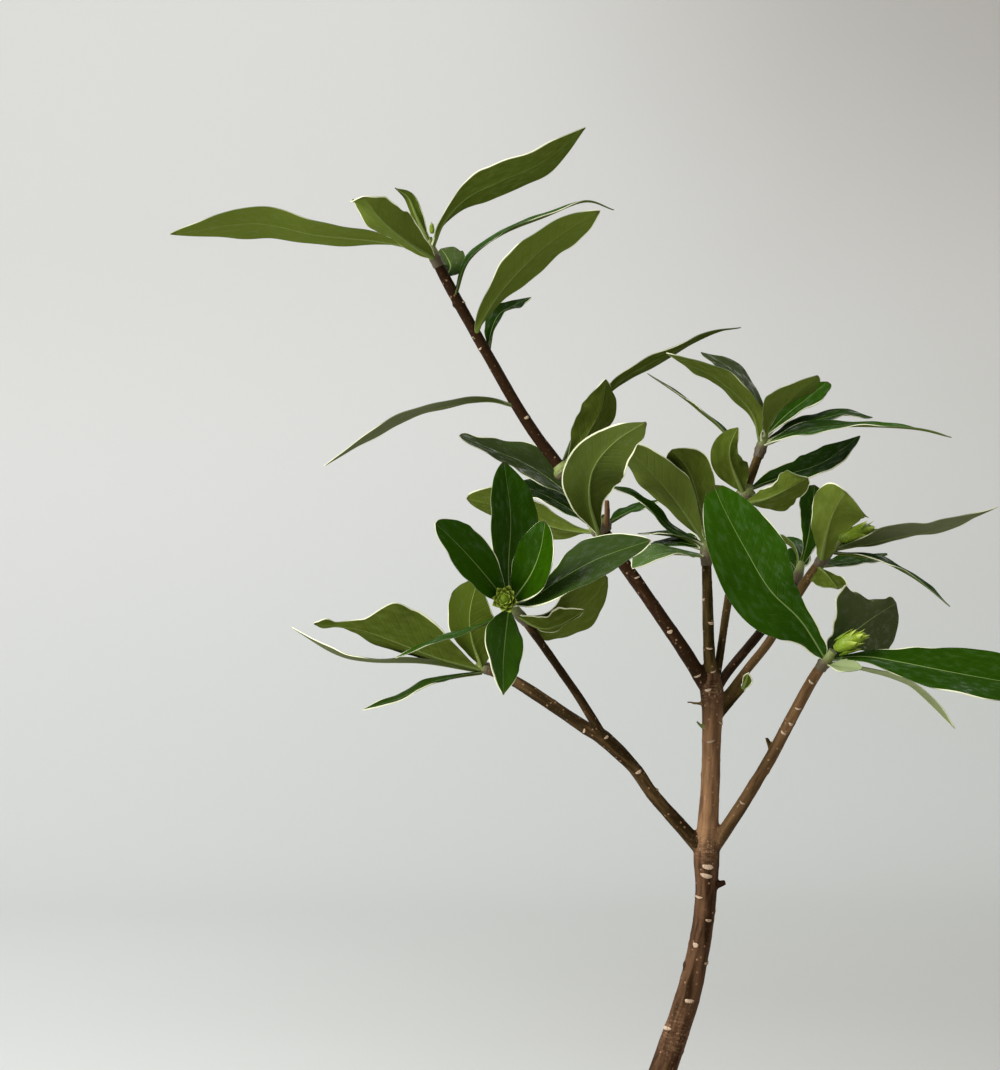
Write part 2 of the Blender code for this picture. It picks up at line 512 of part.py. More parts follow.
        leaf((71.4, 409.4, 60), (71.4, 416, 70), (67.4, 420.6, 82), (60, 423, 94),
             width=18, turn=(66, 70, 72), fold=8, wave=0.6),
        leaf((71.2, 408.6, 60), (69.4, 411.6, 74), (67.6, 413.6, 90), (66, 414, 106),
             width=18, turn=(10, 6, 4), fold=10, wave=0.6),
    ]),
    "whorl_front_right": ([(80, 370.4, -31.6, 5.8), (82.6, 374.2, -33.4, 4.8), (85.2, 377.6, -35, 3.4)], [
        leaf((82, 374.6, -34.6), (72.2, 389.8, -42), (60, 402, -47), (50, 418.6, -50), (41.8, 434, -51),
             (37.4, 444, -51),
             width=31.5, turn=(0, 2, 0, -2), fold=12, wave=0.9, widest=0.5, taper=0.78, point=0.55,
             left=(1, 0.72, 0.95, 1, 1, 1, 1, 1, 1), right=(1, 0.5, 0.42, 0.58, 0.78, 0.97, 1, 1, 1)),
        leaf((83.8, 376.8, -32.6), (92.6, 384.4, -22), (101, 390.8, -8), (110.4, 396.8, 8),
             width=35, turn=(0, 4, 8), fold=(8, -6, -16), wave=1.6, widest=0.55, taper=0.6, point=0.5,
             left=(1, 0.55, 0.65, 0.95, 1, 0.75, 0.42, 0.35, 0.6),
             right=(1, 0.5, 0.5, 0.7, 0.85, 0.95, 1, 1.15, 1.2)),
        leaf((83.6, 374.8, -33), (98, 375.4, -36), (112, 373.2, -39), (130, 369.6, -42), (152, 365.6, -44),
             (176.6, 361.6, -45),
             width=29, turn=(-58, -54, -50, -50), fold=8, wave=0.8, widest=0.62, point=0.7,
             left=(1, 0.7, 0.72, 0.85, 1, 1, 1, 1, 1)),
        leaf((82.8, 373.4, -31), (98, 370.6, -25), (110.4, 366.8, -20), (120, 361.8, -17),
             (127.4, 354.4, -15), (134, 346.6, -14),
             width=13, turn=(-98, -98, -100, -104), fold=4, wave=0.4),
        leaf((82, 372.8, -33), (89, 371.4, -38), (97, 370.6, -42),
             width=8, turn=(-60, -50, -50), fold=14, wave=0.2),
    ]),
    "whorl_front_left": ([(-37.4, 388.8, -42, 4.8), (-41.4, 393.4, -47, 4.2), (-44.8, 397.4, -53, 3.2)], [
        leaf((-44.2, 397, -50), (-44.6, 412, -48), (-43.8, 432, -45), (-46.6, 453.4, -42),
             width=24, turn=(36, 40, 38), fold=12, wave=0.6, widest=0.6, taper=1.0),
        leaf((-44.6, 396.6, -51), (-56, 410.4, -62), (-65.4, 420.6, -72), (-74, 428.6, -82),
             width=23, turn=(44, 48, 44), fold=10, wave=0.5, widest=0.55, taper=0.9, point=0.55,
             right=(1, 1, 1, 1, 1, 0.95, 0.86, 0.8, 0.8)),
        leaf((-43.6, 397, -51.6), (-36, 407.6, -61), (-31.8, 418, -69), (-29.8, 429.6, -76),
             width=19, turn=(-30, -34, -36), fold=16, wave=0.5, widest=0.52, taper=0.85, point=0.6),
        leaf((-43.4, 396, -51), (-35.4, 398.6, -55), (-23.6, 406.4, -59), (-8, 414.8, -61),
             (12.4, 421.8, -62),
             width=27, turn=(-48, -54, -55, -54), fold=8, wave=0.6, widest=0.54, point=0.65,
             left=(1, 0.5, 0.5, 0.65, 0.82, 0.92, 1, 1, 1)),
        leaf((-44.4, 395, -51), (-45.8, 384, -60), (-46.8, 372, -68), (-46.8, 360, -74),
             width=18, turn=(-34, -36, -34), fold=10, wave=0.6, widest=0.5, taper=0.9, point=0.9,
             left=(1, 1, 1, 0.92, 0.9, 0.9, 0.95, 1, 1), right=(1, 1, 1.1, 1.2, 1.15, 1.1, 1, 1, 1)),
        leaf((-43, 393.6, -48), (-52, 389.6, -50), (-64, 384.6, -51), (-79.6, 379.2, -52),
             (-89.8, 374.8, -52),
             width=16, turn=(86, 85, 83), fold=5, wave=0.4),
        leaf((-40.2, 391, -45), (-27, 389.6, -36), (-14, 396.6, -28), (-5, 407, -22),
             width=27, turn=(-130, -128, -124), fold=8, wave=1, widest=0.62, point=0.5,
             left=(1, 1.1, 1.2, 1.2, 1.2, 1.2, 1.3, 1.3, 1.2)),
        leaf((-41.2, 392.6, -47), (-32.4, 387.4, -46), (-24, 388.6, -44), (-14.4, 394, -42),
             width=15, turn=(-118, -122, -126), fold=20, wave=0.8),
    ]),
    "whorl_left": ([(-51.4, 369.8, 3, 5.6), (-54.2, 371, 3, 4.8), (-57.6, 372.2, 2.6, 3.2)], [
        leaf((-55, 371.4, 2), (-59, 383, -4), (-59.6, 394, -10), (-56.6, 406.4, -17),
             width=24, turn=(142, 138, 136), fold=14, wave=0.8, widest=0.52, taper=0.8,
             right=(1, 1.1, 1.25, 1.35, 1.35, 1.3, 1.2, 1.1, 1)),
        leaf((-56, 370.6, 2.4), (-72, 375, -1), (-88.6, 381.2, -5), (-104, 386.4, -9), (-122.4, 388.6, -12),
             width=31, turn=(134, 130, 128, 120), fold=25, wave=0.8, widest=0.48, taper=1.25, point=1.15,
             left=(1, 1, 1, 1, 1, 1.22, 0.5, 0.3, 3), right=(1, 1.2, 1.3, 1.15, 1.1, 1.25, 1.2, 0.6, 3)),
        leaf((-56, 370, 3.4), (-78, 373.4, 9), (-100, 373.8, 15), (-114, 376.8, 20), (-131.2, 387, 26),
             width=17, turn=(96, 97, 98), fold=6, wave=0.6),
        leaf((-55.4, 369.4, 2.4), (-66, 367.6, -1), (-76, 364.8, -5), (-88, 358.8, -10),
             (-102.8, 354, -15),
             width=16, turn=(84, 82, 80), fold=6, wave=0.4),
    ]),
    "leaf_fork": (None, [
        leaf((49, 362, 7), (50.6, 365.4, 5), (51.4, 369, 3),
             width=5, turn=150, fold=16, wave=0.1, point=1.0),
    ]),
}


def leafy_node(name, shoot, leaves, collection, clear, finish):
    """Leaves fused with their green shoot, cut clear of the wood that they sit on."""
    pieces = []
    if shoot:
        points = [Vector((*placed(*point[:3]), point[3] / 2)) for point in shoot]
        pieces.append(tube(name + " shoot", points, collection, 10))
    for index, one in enumerate(leaves):
        pieces.append(blade(one, index, collection))
    whorl = fused(name, pieces, collection)
    boolean(whorl, "DIFFERENCE", clear)
    whorl.data.materials.clear()
    whorl.data.materials.append(finish)
    return whorl


def largest_body(obj):
    """Keeps the biggest connected body and drops scraps that the cut left."""
    shape = bmesh.new()
    shape.from_mesh(obj.data)
    left = set(shape.verts)
    bodies = []
    while left:
        start = left.pop()
        body = {start}
        front = [start]
        while front:
            for edge in front.pop().link_edges:
                for vert in edge.verts:
                    if vert in left:
                        left.discard(vert)
                        body.add(vert)
                        front.append(vert)
        bodies.append(body)
    biggest = max(bodies, key=len)
    scraps = [vert for body in bodies if body is not biggest for vert in body]
    bmesh.ops.delete(shape, geom=scraps, context="VERTS")
    shape.to_mesh(obj.data)
    shape.free()


# Buds: where each starts and ends, its greatest diameter, and how many scales wrap it.
BUDS = {
    "bud_top_left": ((-75.4, 544.6, 8), (-75.2, 549, 7), 2.6, 3),
    "bud_right": ((87.6, 421.6, 46.4), (102, 427.4, 49.8), 9.0, 7),
    "bud_front_right": ((86, 378.6, -35.6), (98.6, 384.6, -41), 8.4, 7),
    "bud_front_left": ((-45.6, 398.2, -57), (-46.6, 398.6, -66), 7.8, 7),
}


# The core of a bud: how far along it, and its radius there as a share of the bud's.
BUD_CORE = ((0.0, 0.3), (0.22, 0.8), (0.5, 0.85), (0.78, 0.5), (1.0, 0.1))
SCALE_RADII = (0.9, 1.25, 0.35)  # of a bud scale at its root, middle and tip


def bud(name, start, end, diameter, scales, collection, finish):
    """A closed bud: a spindle with pointed scales that stand a little off it."""
    low = placed(*start)
    axis = placed(*end) - low
    turn = axis.to_track_quat("Z", "Y").to_matrix()
    spindle = [Vector((*(low + axis * at), diameter / 2 * share)) for at, share in BUD_CORE]
    pieces = [tube(name + " core", spindle, collection, 8)]
    for index in range(scales):
        order = index / scales
        angle = GOLDEN_ANGLE * index
        outward = turn @ Vector((math.cos(angle), math.sin(angle), 0)) * diameter / 2
        spread = 0.55 + 0.3 * order
        places = (
            low + axis * 0.12,
            low + axis * 0.45 + outward * spread,
            low + axis * (0.72 + 0.3 * order) + outward * spread * 1.1,
        )
        points = [Vector((*place, radius)) for place, radius in zip(places, SCALE_RADII)]
        pieces.append(tube(name + " scale", even_points(points, 2), collection, 6))
    made = fused(name, pieces, collection)
    made.data.materials.clear()
    made.data.materials.append(finish)


def inner_radius(height):
    """The radius of the pot's inside at this height."""
    low = POT_FLOOR + FLOOR_FILLET
    high = POT_HEIGHT - LIP_EASE
    floor = POT_FOOT_RADIUS - POT_WALL
    mouth = POT_RIM_RADIUS - COLLAR_PROUD - POT_WALL
    return floor + (mouth - floor) * (height - low) / (high - low)


def pot(collection):
    """A plain clay pot with a collar round its rim."""
    floor = POT_FOOT_RADIUS - POT_WALL
    mouth = POT_RIM_RADIUS - COLLAR_PROUD - POT_WALL
    collar_foot = POT_HEIGHT - COLLAR_HEIGHT
    profile = (
        (0, POT_FLOOR),
        (floor - FLOOR_FILLET, POT_FLOOR),
        (floor, POT_FLOOR + FLOOR_FILLET),
        (mouth, POT_HEIGHT - LIP_EASE),
        (mouth + LIP_ROUND / 2, POT_HEIGHT - LIP_ROUND / 3),
        (mouth + LIP_ROUND, POT_HEIGHT),
        (POT_RIM_RADIUS - LIP_ROUND, POT_HEIGHT),
        (POT_RIM_RADIUS, POT_HEIGHT - LIP_ROUND),
        (POT_RIM_RADIUS - COLLAR_ROUND / 2, collar_foot + COLLAR_ROUND),
        (POT_RIM_RADIUS - LIP_ROUND, collar_foot),
        (POT_RIM_RADIUS - COLLAR_PROUD - LIP_ROUND, collar_foot - COLLAR_ROUND / 2),
        (POT_FOOT_RADIUS + FOOT_ROUND / 6, FOOT_ROUND),
        (POT_FOOT_RADIUS - FOOT_ROUND / 6, FOOT_ROUND / 4),
        (POT_FOOT_RADIUS - FOOT_ROUND / 2, 0),
        (0, 0),
    )
    made = turned("pot", profile, POT_STEPS, collection)
    made.data.materials.append(material("clay", (0.42, 0.19, 0.1), 0.85))


def soil(collection, clear):
    """Potting soil that fills the pot to below its rim, with an uneven top and a plain hole."""
    edge = inner_radius(SOIL_LEVEL) - 1.5 * GAP
    foot = inner_radius(POT_FLOOR + FLOOR_FILLET) - 1.5 * GAP
    rings = [(edge * part / 5, SOIL_LEVEL + SOIL_CROWN * (1 - part / 5)) for part in range(5)]
    profile = [
        *rings,
        (edge, SOIL_LEVEL),
        (foot, POT_FLOOR + FLOOR_FILLET + GAP),
        (foot - FLOOR_FILLET - GAP, POT_FLOOR + GAP),
        (0, POT_FLOOR + GAP),
    ]
    made = turned("soil", profile, SOIL_STEPS, collection)
    for vert in made.data.vertices:
        x, y, z = vert.co / MM
        if z > SOIL_LEVEL - GAP and math.hypot(x, y) < edge - GAP:
            swell = math.sin(x * 0.11 + 0.7) * math.cos(y * 0.13) + 0.5 * math.sin(x * 0.31 + y * 0.27)
            vert.co.z += swell * SOIL_ROUGHNESS * MM
    boolean(made, "DIFFERENCE", clear, "EXACT")
    made.data.materials.clear()
    made.data.materials.append(material("soil", (0.045, 0.03, 0.02), 0.95))


def build():
    """Clears the scene and makes every piece."""
    for obj in list(bpy.data.objects):
        bpy.data.objects.remove(obj)
    parts = bpy.data.collections.new("Potted winter daphne")
    cutters = bpy.data.collections.new("Cutters")
    for collection in (parts, cutters):
        bpy.context.scene.collection.children.link(collection)
    pot(parts)
    clear = wood(parts, cutters)
    clear.hide_render = True
    clear.display_type = "WIRE"
    soil(parts, clear)
    leaf_green = material("leaf green", (0.055, 0.11, 0.02), 0.4)
    for name, (shoot, leaves) in LEAFY.items():
        largest_body(leafy_node(name, shoot, leaves, parts, clear, leaf_green))
    bud_green = material("bud green", (0.32, 0.4, 0.05), 0.5)
    for name, (start, end, diameter, scales) in BUDS.items():
        bud(name, start, end, diameter, scales, parts, bud_green)
    for obj in parts.objects:
        obj.data.set_sharp_from_angle(angle=math.radians(35))


build()
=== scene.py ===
"""The looks of a potted winter daphne: a small shrub with whorls of glossy, pale-edged leaves on
bare reddish wood, standing in dark soil in a plain clay pot."""

import math
import random

import bpy
from mathutils import Matrix, Vector, noise
from mathutils.kdtree import KDTree


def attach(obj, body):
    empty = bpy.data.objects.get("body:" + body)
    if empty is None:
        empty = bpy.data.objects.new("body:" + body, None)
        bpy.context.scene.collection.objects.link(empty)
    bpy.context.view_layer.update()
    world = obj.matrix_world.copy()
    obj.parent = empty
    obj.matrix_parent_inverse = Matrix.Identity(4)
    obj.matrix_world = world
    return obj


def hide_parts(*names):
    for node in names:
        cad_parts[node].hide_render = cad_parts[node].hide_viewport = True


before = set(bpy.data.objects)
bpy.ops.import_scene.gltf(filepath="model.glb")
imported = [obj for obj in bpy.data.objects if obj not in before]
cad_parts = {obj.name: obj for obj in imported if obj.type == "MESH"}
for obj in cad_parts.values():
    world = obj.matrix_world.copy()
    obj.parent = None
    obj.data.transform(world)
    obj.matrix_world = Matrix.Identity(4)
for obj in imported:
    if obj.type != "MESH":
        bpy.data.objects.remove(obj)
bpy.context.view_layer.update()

MM = 0.001


# The setting. A sheet of pale matt paper lies on the table and sweeps up behind the plant, as a
# photographer hangs it. A wide soft lamp stands up on the left, two weaker ones light the back and
# the paper, and the room fills the rest.
EYE = Vector((-48.0, -1200.0, 424.0))  # where the camera stands, in millimetres
LENS = 100.93
PAPER_HALF_WIDTH = 5.0
PAPER_FRONT = -4.0
PAPER_BEND_START = 2.2
PAPER_BEND_RADIUS = 1.2
PAPER_RISE = 3.0


def add_node(tree, kind, inputs=(), **options):
    """A new node with its options set, and each input filled with a value or linked to a socket."""
    node = tree.nodes.new(kind)
    for name, value in options.items():
        setattr(node, name, value)
    for place, value in dict(inputs).items():
        if isinstance(value, bpy.types.NodeSocket):
            tree.links.new(value, node.inputs[place])
        else:
            node.inputs[place].default_value = value
    return node


def own_place(tree):
    """The place on the object itself, in metres."""
    return add_node(tree, "ShaderNodeTexCoord").outputs["Object"]


def noise_at(place, scale, detail, **more):
    """Soft noise of this scale, read at this place."""
    inputs = {"Vector": place, "Scale": scale, "Detail": detail, **more}
    return add_node(place.id_data, "ShaderNodeTexNoise", inputs).outputs["Fac"]


def colour_between(share, one, other):
    """The colour that lies this share of the way from one colour to the other."""
    inputs = {0: share, 6: one, 7: other}
    for place in (6, 7):
        if isinstance(inputs[place], tuple):
            inputs[place] = (*inputs[place], 1.0)
    return add_node(share.id_data, "ShaderNodeMix", inputs, data_type="RGBA").outputs[2]


def smooth_step(value, low, high, bottom=0.0, top=1.0):
    """Bottom where the value is low, top where it is high, and a soft change between them."""
    inputs = {"Value": value, "From Min": low, "From Max": high, "To Min": bottom, "To Max": top}
    node = add_node(value.id_data, "ShaderNodeMapRange", inputs, interpolation_type="SMOOTHSTEP")
    return node.outputs["Result"]


def sum_of(operation, one, other=0.0, third=0.0):
    """The result of one step of arithmetic."""
    inputs = {0: one, 1: other, 2: third}
    return add_node(one.id_data, "ShaderNodeMath", inputs, operation=operation).outputs[0]


def times(one, other):
    """One value multiplied by the other."""
    return sum_of("MULTIPLY", one, other)


def finish(name, roughness, **constants):
    """A new material with its Principled shader, whose plain numbers are set on its own sockets."""
    made = bpy.data.materials.new(name)
    made.use_nodes = True
    shader = made.node_tree.nodes["Principled BSDF"]
    shader.inputs["Roughness"].default_value = roughness
    for socket, value in constants.items():
        shader.inputs[socket.replace("_", " ")].default_value = value
    return made, made.node_tree, shader


def feed(shader, name, socket):
    """Links this socket to the shader's input of this name."""
    shader.id_data.links.new(socket, shader.inputs[name])


def paint(shader, body, *coats):
    """Lays the coats, each a share and its colour, over the body colour, and paints the shader so."""
    for share, colour in coats:
        body = colour_between(share, body, colour)
    feed(shader, "Base Color", body)


def pick_edges(obj, wanted):
    """Goes into edit mode with just those edges selected whose two ends lie at wanted places."""
    bpy.ops.object.mode_set(mode="EDIT")
    bpy.ops.mesh.select_all(action="DESELECT")
    bpy.ops.object.mode_set(mode="OBJECT")
    for edge in obj.data.edges:
        edge.select = all(wanted(obj.data.vertices[v].co) for v in edge.vertices)
    bpy.ops.object.mode_set(mode="EDIT")
    bpy.ops.mesh.select_mode(type="EDGE")


def align_faces(inside=False):
    """Turns all faces outwards, or inwards, and leaves edit mode."""
    bpy.ops.mesh.select_all(action="SELECT")
    bpy.ops.mesh.normals_make_consistent(inside=inside)
    bpy.ops.object.mode_set(mode="OBJECT")


bpy.ops.object.select_all(action="DESELECT")
bpy.ops.object.camera_add(location=EYE * MM, rotation=(math.pi / 2, 0, 0))
camera = bpy.context.object
camera.data.sensor_width = 36.0
camera.data.lens = LENS
camera.data.clip_end = 30.0
bpy.context.scene.camera = camera

bpy.ops.mesh.primitive_plane_add(size=2.0, location=(0, 0, 0))
paper = bpy.context.object
paper.name = "paper_sweep"
paper.data.name = "paper_sweep"
for vert in paper.data.vertices:
    vert.co.x *= PAPER_HALF_WIDTH
    vert.co.y = PAPER_BEND_START if vert.co.y > 0 else PAPER_FRONT
pick_edges(paper, lambda spot: spot.y > 0)
bpy.ops.mesh.spin(
    steps=24, angle=-math.pi / 2, center=(0, PAPER_BEND_START, PAPER_BEND_RADIUS), axis=(1, 0, 0)
)
bpy.ops.mesh.extrude_region_move(TRANSFORM_OT_translate={"value": (0, 0, PAPER_RISE)})
bpy.ops.mesh.select_all(action="SELECT")
bpy.ops.mesh.remove_doubles(threshold=0.0001)
align_faces(inside=True)
bpy.ops.object.shade_smooth()

paper_finish, tree, shader = finish("pale_paper", 0.9)
place = own_place(tree)
axes = add_node(tree, "ShaderNodeSeparateXYZ", {0: place}).outputs
across = sum_of("MULTIPLY_ADD", noise_at(place, 0.9, 3.0), 0.5, axes["X"])
high, deep = axes["Z"], axes["Y"]
# Painted light and shade on the paper: palest at the left, painted shade to the right, up the sweep and
# where it lies flat, and a cooler painted grey low down.
paint(
    shader, colour_between(smooth_step(across, -0.1, 1.7), (0.87, 0.87, 0.86), (0.67, 0.655, 0.625)),
    (smooth_step(high, 0.4, 0.9, 0.0, 0.4), (0.66, 0.66, 0.64)),
    (times(smooth_step(high, 0.9, 0.0), smooth_step(across, -1.6, 0.4, 0.3, 0.8)), (0.70, 0.735, 0.72)),
    (times(smooth_step(high, 0.7, 1.3), smooth_step(across, 0.1, 1.2)), (0.52, 0.50, 0.47)),
    (times(smooth_step(deep, 2.7, 1.3), smooth_step(across, -0.4, 1.0, 0.12, 1.0)), (0.49, 0.49, 0.47)),
)
paper.data.materials.append(paper_finish)

for name, where, aim, side, power in (
    ("window_left", (-1.75, -1.1, 1.6), (0.0, 0.0, 0.40), 1.2, 80.0),
    ("window_back", (0.9, 1.2, 1.6), (0.0, 0.0, 0.42), 0.9, 6.0),
    ("paper_light", (-1.0, 1.0, 2.4), (-0.4, 3.4, 1.0), 1.4, 14.0),
):
    bpy.ops.object.light_add(type="AREA", location=where)
    lamp = bpy.context.object
    lamp.name = name
    lamp.data.shape = "SQUARE"
    lamp.data.size = side
    lamp.data.energy = power
    lamp.rotation_euler = (Vector(aim) - Vector(where)).to_track_quat("-Z", "Y").to_euler()

world = bpy.data.worlds.new("room_light")
bpy.context.scene.world = world
world.use_nodes = True
room = world.node_tree.nodes["Background"]
room.inputs["Color"].default_value = (1.0, 0.985, 0.955, 1.0)
room.inputs["Strength"].default_value = 0.44
bpy.context.scene.view_settings.view_transform = "Standard"


# The pot. A plain thrown flower pot of red earthenware, with a collar under its rim. It was turned on a
# wheel, so it has faint throwing rings, and it was fired unglazed, so it is matt and chalky.
POT_SIDES = 128
POT_WOBBLE = 0.22
# Radius and height in millimetres: from the foot up the outside, over the rim, and down inside.
POT_PROFILE = (
    (58.0, 0.0), (60.8, 0.0), (62.4, 0.8), (63.4, 2.4), (64.4, 5.0), (66.4, 20.0), (70.2, 49.0),
    (74.2, 79.0), (78.2, 109.0), (82.0, 138.0), (83.8, 144.4), (85.4, 145.4), (88.6, 145.6), (90.6, 146.2),
    (91.8, 147.8), (92.2, 150.0), (92.6, 158.0), (93.0, 165.6), (92.6, 168.0), (91.4, 169.5), (89.6, 170.0),
    (86.2, 170.0), (84.4, 169.4), (83.0, 168.0), (82.2, 165.6), (79.6, 150.0), (72.8, 110.0), (64.6, 60.0),
    (57.4, 17.0), (56.2, 13.6), (53.0, 12.1), (20.0, 12.0),
)


def throwing_rings(profile, step=2.4, depth=0.16):
    """The profile with points every few millimetres and the potter's shallow rings on its walls."""
    points = []
    for (radius, height), (next_radius, next_height) in zip(profile, profile[1:]):
        count = max(1, round(abs(next_height - height) / step))
        for part in range(count):
            share = part / count
            at = height + (next_height - height) * share
            ring = depth * math.sin(at * 1.05) * math.sin(at * 0.23 + 1.0) if count > 3 else 0.0
            points.append((radius + (next_radius - radius) * share + ring, at))
    points.append(profile[-1])
    return points


def turned(profile, sides):
    """A body turned from these (radius, height) points in millimetres, closed at both ends."""
    start = Vector(profile[0]) * MM
    bpy.ops.object.select_all(action="DESELECT")
    bpy.ops.mesh.primitive_circle_add(
        vertices=sides, radius=start.x, fill_type="NOTHING", location=(0, 0, start.y)
    )
    bpy.ops.object.transform_apply(location=True)
    made = bpy.context.object
    bpy.ops.object.mode_set(mode="EDIT")
    bpy.ops.mesh.select_all(action="SELECT")
    for (radius, height), (next_radius, next_height) in zip(profile, profile[1:]):
        rise = {"value": (0, 0, (next_height - height) * MM)}
        bpy.ops.mesh.extrude_region_move(TRANSFORM_OT_translate=rise)
        swell = next_radius / radius
        bpy.ops.transform.resize(value=(swell, swell, 1), center_override=(0, 0, next_height * MM))
    bpy.ops.mesh.edge_face_add()  # the far end, and then the ring that it started from
    pick_edges(made, lambda spot: (Vector((spot.xy.length, spot.z)) - start).length < 0.1 * MM)
    bpy.ops.mesh.edge_face_add()
    align_faces()
    return made


def riding(obj, name, replaced):
    """Names the finished piece, and tells the frame what it rides on and replaces."""
    obj.name = name
    obj.data.name = name
    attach(obj, "root")
    if replaced:
        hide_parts(replaced)


pot = turned(throwing_rings(POT_PROFILE), POT_SIDES)
for vert in pot.data.vertices:
    if 0.003 < vert.co.z < 0.166:  # the foot and the rim stay true
        outward = Vector((vert.co.x, vert.co.y, 0)).normalized()
        vert.co += outward * (noise.noise(vert.co * 26.0) * POT_WOBBLE * MM)
bpy.ops.object.shade_smooth_by_angle(angle=math.radians(50))
riding(pot, "clay_pot", "pot")


def node_group(name, inputs, outputs):
    """A new node group with these inputs and outputs, and the sockets where its inputs arrive."""
    group = bpy.data.node_groups.new(name, "ShaderNodeTree")
    for socket, kind in inputs.items():
        group.interface.new_socket(socket, in_out="INPUT", socket_type=kind)
    for socket in outputs:
        group.interface.new_socket(socket, in_out="OUTPUT", socket_type="NodeSocketFloat")
    return group, group.nodes.new("NodeGroupInput").outputs


def put_out(group, *values):
    """Links these values to the group's outputs, in their order."""
    for socket, value in zip(group.nodes.new("NodeGroupOutput").inputs, values):
        group.links.new(value, socket)


# Fine grain, cloudy patches and pits, read at the place given, for every rough finish.
GRAIN, given = node_group(
    "grain_and_clouds", {"Place": "NodeSocketVector", "Fineness": "NodeSocketFloat"},
    ("Grain", "Clouds", "Pits"),
)
place, fineness = given["Place"], given["Fineness"]
cells = add_node(GRAIN, "ShaderNodeTexVoronoi", {"Vector": place, "Scale": times(fineness, 0.35)}).outputs
put_out(
    GRAIN, noise_at(place, fineness, 3.0), noise_at(place, times(fineness, 0.04), 5.0),
    smooth_step(cells["Distance"], 0.12, 0.3, 1.0, 0.0),
)


def grain_at(tree, fineness):
    """The group's Grain, Clouds and Pits in this material, read at the object's own places."""
    inputs = {"Place": own_place(tree), "Fineness": fineness}
    return add_node(tree, "ShaderNodeGroup", inputs, node_tree=GRAIN).outputs


def relief(shader, height, depth):
    """Feeds the height, in metres of depth, to the shader's Normal through a Bump node."""
    inputs = {"Height": height, "Distance": depth, "Strength": 1.0}
    feed(shader, "Normal", add_node(shader.id_data, "ShaderNodeBump", inputs).outputs["Normal"])


clay, tree, shader = finish("red_clay", 0.88)
grain, clouds, pits = grain_at(tree, 1100.0)
height = add_node(tree, "ShaderNodeSeparateXYZ", {0: own_place(tree)}).outputs["Z"]
lime = times(smooth_step(height, 0.055, 0.0, 0.0, 0.6), smooth_step(clouds, 0.42, 0.62))
paint(
    shader, colour_between(clouds, (0.36, 0.135, 0.065), (0.50, 0.22, 0.12)),
    (times(pits, 0.35), (0.20, 0.075, 0.04)),
    (lime, (0.62, 0.52, 0.44)),
    (times(smooth_step(height, 0.150, 0.110, 0.0, 0.55), clouds), (0.25, 0.09, 0.045)),  # damp
)
feed(shader, "Roughness", smooth_step(grain, 0.3, 0.7, 0.78, 0.95))
relief(shader, sum_of("SUBTRACT", grain, pits), 0.00025)
pot.data.materials.append(clay)


# The soil. Dark peat compost, poured in and firmed by hand: a crumbly bed that slopes up a little to the
# trunk and sinks a little along the wall of the pot.
SOIL_FOOT = (56.0, 12.6)  # its radius and height on the floor of the pot
SOIL_RADIUS = 79.0
SOIL_LEVEL = 150.0
SOIL_RINGS = 76
SOIL_SIDES = 144
SOIL_CROWN = 2.0  # how much higher the bed is at the trunk
SOIL_SWELL = 1.6
SUNK_RIM = 5.0  # how far in from the wall the bed sinks


def soil_height(x, y):
    """The height of the bed, in millimetres, over this place."""
    reach = math.hypot(x, y)
    swell = math.sin(x * 0.11 + 0.7) * math.cos(y * 0.13) + 0.15 * math.sin(x * 0.31 + y * 0.27)
    high = SOIL_LEVEL + SOIL_CROWN * (1 - reach / SOIL_RADIUS) + SOIL_SWELL * swell
    high += 1.7 * noise.noise(Vector((x, y, 0)) * 0.19) + 1.1 * noise.noise(Vector((x, y, 9)) * 0.5)
    return high - 0.25 * max(reach - SOIL_RADIUS + SUNK_RIM, 0)


def copied(obj):
    """A copy of this object, with a mesh of its own."""
    made = obj.copy()
    made.data = obj.data.copy()
    bpy.context.collection.objects.link(made)
    return made


def marked(obj, name, values):
    """Writes a value for every point of the object, which its material reads by this name."""
    obj.data.attributes.new(name, "FLOAT", "POINT").data.foreach_set("value", values)


def pick(objects):
    """Selects these objects alone and makes the first of them active."""
    bpy.ops.object.select_all(action="DESELECT")
    for obj in objects:
        obj.select_set(True)
    bpy.context.view_layer.objects.active = objects[0]


def joined(objects):
    """One object made of all of these."""
    pick(objects)
    bpy.ops.object.join()
    return bpy.context.object


reaches = [SOIL_RADIUS]
for ring in range(SOIL_RINGS, 0, -1):
    reaches.append(reaches[-1] * (ring - 0.9) / (ring + 0.1))
soil = turned([SOIL_FOOT, *((reach, SOIL_LEVEL) for reach in reaches)], SOIL_SIDES)
for vert in soil.data.vertices:
    if vert.co.z > 0.1:  # the bed, not the foot
        vert.co.z = soil_height(vert.co.x / MM, vert.co.y / MM) * MM
bpy.ops.object.shade_smooth()
riding(soil, "compost", "soil")

